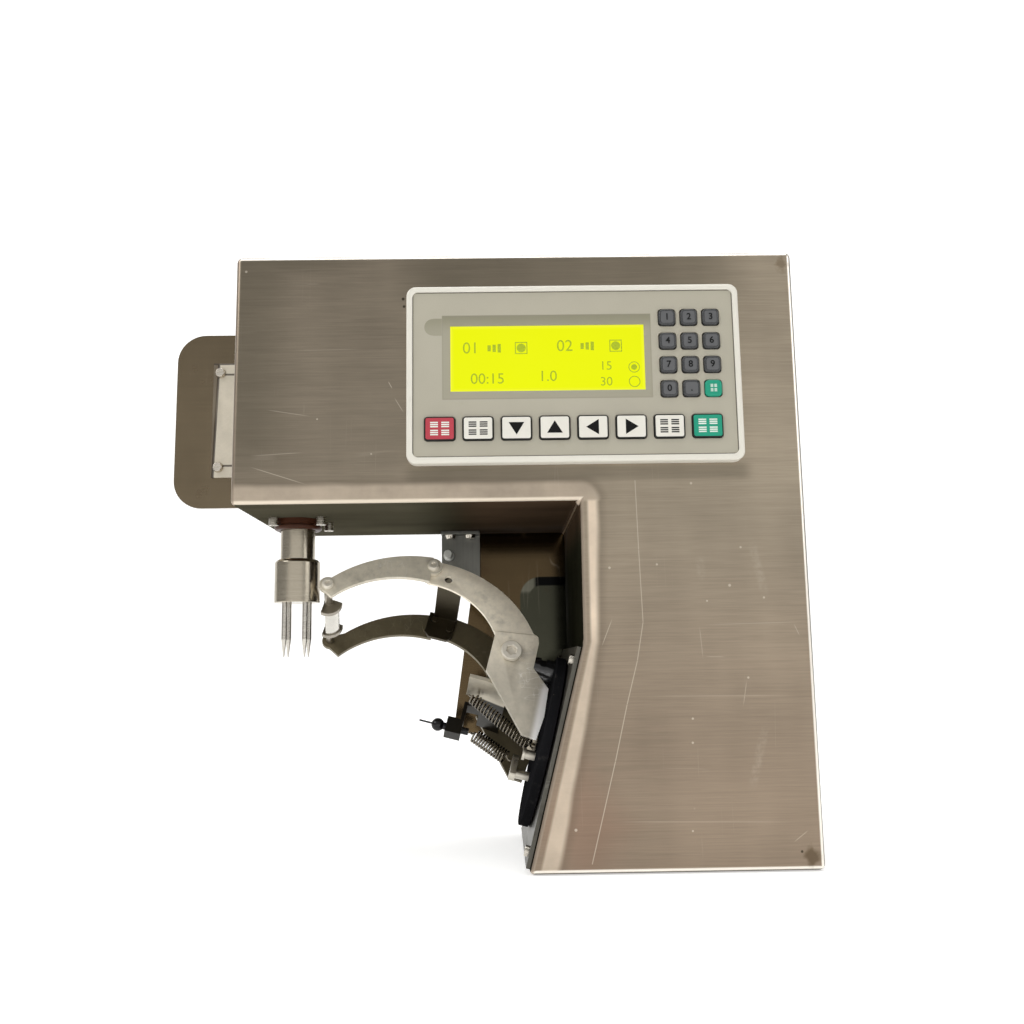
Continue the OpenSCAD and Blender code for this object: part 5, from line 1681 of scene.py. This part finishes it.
@dataclass
class Arms:
    """Arms, fittings, springs and blade, in the carrier's own leaning frame."""

    lean: float = math.radians(29.0)
    plate_edge: tuple[float, float] = (43.6, 35.85)
    plate_turn: float = -9.1
    plate_step: float = 0.8
    arm_round: float = 0.3
    pair_round: float = 0.35
    upper_ends: tuple[Point, Point] = ((11.1, -10.0, 50.5), (-10.6, -10.0, 10.0))
    lower_ends: tuple[Point, Point] = ((-1.0, 10.0, 45.1), (-11.5, 10.0, 19.8))

    def spot(self) -> Matrix:
        """The carrier's place.

        Returns:
            Matrix from height, depth and distance off the wall, in metres, to the machine's frame.
        """
        out = Vector((-math.cos(TILT), 0.0, math.sin(TILT)))
        up = Vector((math.sin(TILT), 0.0, math.cos(TILT)))
        back = Vector((0.0, 1.0, 0.0))
        height = up * math.cos(self.lean) + back * math.sin(self.lean)
        depth = back * math.cos(self.lean) - up * math.sin(self.lean)
        turned = Matrix((height, depth, out)).transposed().to_4x4()
        return Matrix.Translation(Vector(WALL) * MM) @ turned

    def spring(self, node: str, ends: tuple[Point, Point], coil: float, wire: float, curls: int) -> None:
        """A close-wound pulled spring with a bent leg at each end.

        Args:
            node: the frame node that it replaces.
            ends: its ends in the carrier's frame, in millimetres.
            coil: mean diameter of the winding.
            wire: diameter of the wire.
            curls: turns.
        """
        first, last = (Vector(q) for q in ends)
        length = (last - first).length
        lead = 2.6 * wire
        pitch = (length - 2 * lead) / curls
        steps = 20
        leg = ((0.0, 0.0), (0.0, wire * 0.8), (0.0, lead * 0.45), (coil * 0.22, lead * 0.8))
        path = [Vector((x, 0, z)) for x, z in leg]
        for i in range(steps * curls + 1):
            turn = i / steps * math.tau
            height = lead + pitch * i / steps
            path.append(Vector((coil / 2 * math.cos(turn), coil / 2 * math.sin(turn), height)))
        path += [Vector((x, 0, length - z)) for x, z in reversed(leg)]
        axis = (last - first).normalized()
        local = Matrix.Translation(first) @ axis.to_track_quat("Z", "Y").to_matrix().to_4x4()
        place = self.spot() @ Matrix.Diagonal((MM, MM, MM, 1.0)) @ local
        curve = bpy.data.curves.new("wire", "CURVE")
        curve.dimensions = "3D"
        curve.bevel_depth = wire / 2 * MM
        curve.bevel_resolution = 3
        curve.use_fill_caps = True
        spline = curve.splines.new("POLY")
        spline.points.add(len(path) - 1)
        for point, q in zip(spline.points, path):
            point.co = (*(place @ q), 1.0)
        mesh = mesh_of(curve)
        shape = Shape()
        shape.bm.from_mesh(mesh)
        bpy.data.meshes.remove(mesh)
        bmesh.ops.remove_doubles(shape.bm, verts=shape.bm.verts[:], dist=1e-7)
        shape.outward()
        for f in shape.bm.faces:
            f.material_index = 0
        piece = shape.piece(node + "_wire", finish(SPRING), smooth=50.0)
        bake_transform(piece)
        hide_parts(node)
        LOG.info("%s between swing and arm", piece.name)

    def pair(self, node: str, near: Steel, far: Steel, segments: int = 2) -> None:
        """A node with parts on both arms, each side with its own finish.

        Args:
            node: the frame node that it replaces.
            near: finish on the front arm's side.
            far: finish on the rear arm's side.
            segments: steps across the rounded edges.
        """
        shape = Shape.of_node(node)
        shape.bevel(shape.sharp(), self.pair_round, segments)
        back = self.spot().inverted()
        for f in shape.bm.faces:
            f.material_index = 1 if (back @ f.calc_center_median()).y > 0.0 else 0
        show(shape.piece(node + "_piece", finish(near), finish(far)), "arm", SLOT_OF[node], node)

    def front(self) -> None:
        """The front arm, whose pivot plate stands a little proud of the curved part, with a sloping step."""
        piece = Shape.of_node("front_arm").piece("front_arm_piece", finish(ARM))
        back = self.spot().inverted()
        face = min((back @ v.co).y for v in piece.data.vertices)
        tool = Shape()
        reach = 0.08
        corners = tool.box((0.0, face - 0.002, -0.06), (reach, face + self.plate_step * MM, 0.14))
        for v in corners:
            if v.co.x < reach / 2:
                v.co.x += v.co.y - face
        edge = Matrix.Translation((self.plate_edge[0] * MM, 0.0, self.plate_edge[1] * MM))
        tilted = self.spot() @ edge @ Matrix.Rotation(math.radians(self.plate_turn), 4, "Y")
        bmesh.ops.transform(tool.bm, matrix=tilted, verts=corners)
        cut(piece, tool.piece("step_tool"))
        rounding = {"width": self.arm_round * MM, "segments": 2}
        settle(piece, "BEVEL", limit_method="ANGLE", angle_limit=math.radians(30.0), **rounding)
        piece.data.set_sharp_from_angle(angle=math.radians(SMOOTH_DEGREES))
        show(piece, "arm", SLOT_OF["front_arm"], "front_arm")

    def build(self) -> None:
        """Make and dress every piece of the arms."""
        self.front()
        self.pair("tip_arms", TIP_ARM, SHADED_REAR_ARM)
        refine("rear_arm", SHADED_REAR_ARM, 0.35)
        refine("cross_plate", DARK_STEEL, 0.4)
        turned = self.spot()
        across = tuple(turned.col[1][:3])
        refine("arm_brace", BraceSteel(tuple(turned.translation), across), 0.3)
        # the rear screws get the darker steel as painted shade
        self.pair("arm_screws", SCREW, DARK_STEEL, 3)
        refine("spring_adjuster", OxideSteel(), 0.2)
        refine("blade_holder", CARRIAGE, 0.3)
        refine("blade", BLADE, 0.12)
        self.spring("upper_spring", self.upper_ends, 5.9, 1.1, 20)
        self.spring("lower_spring", self.lower_ends, 7.2, 1.2, 13)


@dataclass
class HomeSensor:
    """The sensor under the head and its bracket."""

    def build(self) -> None:
        """Dress the sensor and its bracket."""
        refine("sensor_bracket", BRACKET, 0.4)
        refine("home_sensor", SENSOR, 0.5, 3)


# name, place, aim, side in metres and watts
LAMPS = (
    ("key_lamp", (-1.9, -1.0, 1.7), (-0.05, 0.0, 0.15), 1.2, 22.0),
    ("fill_lamp", (1.9, -0.9, 0.9), (0.0, 0.0, 0.15), 1.2, 9.0),
    ("top_lamp", (0.0, -0.1, 1.9), (0.0, 0.0, 0.1), 1.4, 16.0),
)


@dataclass
class Studio:
    """Pale floor, soft lights and the camera of the photograph."""

    eye: Point = (-84.0, -568.2, 102.3)
    right: Point = (0.999846, -0.009661, -0.01467)
    ahead: Point = (0.011736, 0.988817, 0.148672)
    up: Point = (0.013069, -0.148822, 0.988778)
    focal_px: float = 1001.5
    image_px: float = 1024.0
    sensor: float = 36.0

    def camera(self) -> None:
        """Set the camera."""
        data = bpy.data.cameras.new("camera")
        data.sensor_width = self.sensor
        data.lens = self.sensor * self.focal_px / self.image_px
        data.clip_start = 0.01
        data.clip_end = 50.0
        made = bpy.data.objects.new("camera", data)
        axes = Matrix((self.right, self.up, [-c for c in self.ahead])).transposed().to_4x4()
        made.matrix_world = Matrix.Translation(Vector(self.eye) * MM) @ axes
        bpy.context.scene.collection.objects.link(made)
        bpy.context.scene.camera = made

    def floor(self) -> None:
        """A wide pale floor that runs up into a backdrop."""
        shape = Shape()
        side, back, rise = 6.0, 3.0, 4.0
        bend_radius, drop = 1200.0, 0.0004
        shape.flat([(-side, -side, 0.0), (side, -side, 0.0), (side, back, 0.0), (-side, back, 0.0)])
        far = [e for e in shape.bm.edges if all(v.co.y > back - 0.01 for v in e.verts)]
        grown = bmesh.ops.extrude_edge_only(shape.bm, edges=far)["geom"]
        shape.move(grown, (0.0, 0.0, rise))
        bend = [e for e in shape.bm.edges if len(e.link_faces) == 2]
        shape.bevel(bend, bend_radius, 12)
        shape.move(shape.bm.verts[:], (0.0, 0.0, -drop))
        shape.outward()
        shape.piece("floor", finish(Paper()))

    def lamp(self, name: str, spot: Point, aim: Point, size: float, power: float) -> None:
        """A soft square lamp.

        Args:
            name: the lamp's name.
            spot: where it hangs, in metres.
            aim: what it points at.
            size: its side in metres.
            power: watts.
        """
        data = bpy.data.lights.new(name, "AREA")
        data.shape = "SQUARE"
        data.size = size
        data.energy = power
        made = bpy.data.objects.new(name, data)
        look = (Vector(aim) - Vector(spot)).to_track_quat("-Z", "Y")
        made.matrix_world = Matrix.Translation(spot) @ look.to_matrix().to_4x4()
        bpy.context.scene.collection.objects.link(made)

    def sky(self, scene: bpy.types.Scene) -> None:
        """A soft surround: bright ahead and low down, dimmer above and to the sides.

        Args:
            scene: the scene that it is for.
        """
        world = bpy.data.worlds.new("studio")
        world.use_nodes = True
        tree = NodeTree(world.node_tree)
        across, _, height = tree.axes(tree.node("ShaderNodeTexCoord", None, None, "Object"))
        sides = 1.0 - abs(across).rise(0.4, 0.85) * 0.6
        level = 1.0 - height.rise(0.08, 0.5) * 0.45
        shade = tree.node("ShaderNodeBackground", None, {0: (0.90, 0.89, 0.87, 1.0), 1: sides * level})
        tree.node("ShaderNodeOutputWorld", None, {0: shade}, None)
        scene.world = world

    def build(self) -> None:
        """Set the stage."""
        scene = bpy.context.scene
        scene.view_settings.view_transform = "Standard"
        self.sky(scene)
        self.floor()
        for row in LAMPS:
            self.lamp(*row)
        self.camera()


def main() -> None:
    """Build the machine's looks in order."""
    logging.basicConfig(level=logging.INFO, format="%(name)s: %(message)s")
    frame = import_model()
    NODES.update(frame["nodes"])
    for body, members in frame["record"]["behaviour"]["bodies"].items():
        BODY_OF.update({node: body for node in members})
    SLOT_OF.update({s["node"]: s["material_slot"] for s in frame["record"]["subparts"]})
    Studio().build()
    for part in (Housing(), Display(), Spindle(), SwingDrive(), Arms(), HomeSensor()):
        part.build()


if __name__ == "__main__":
    main()
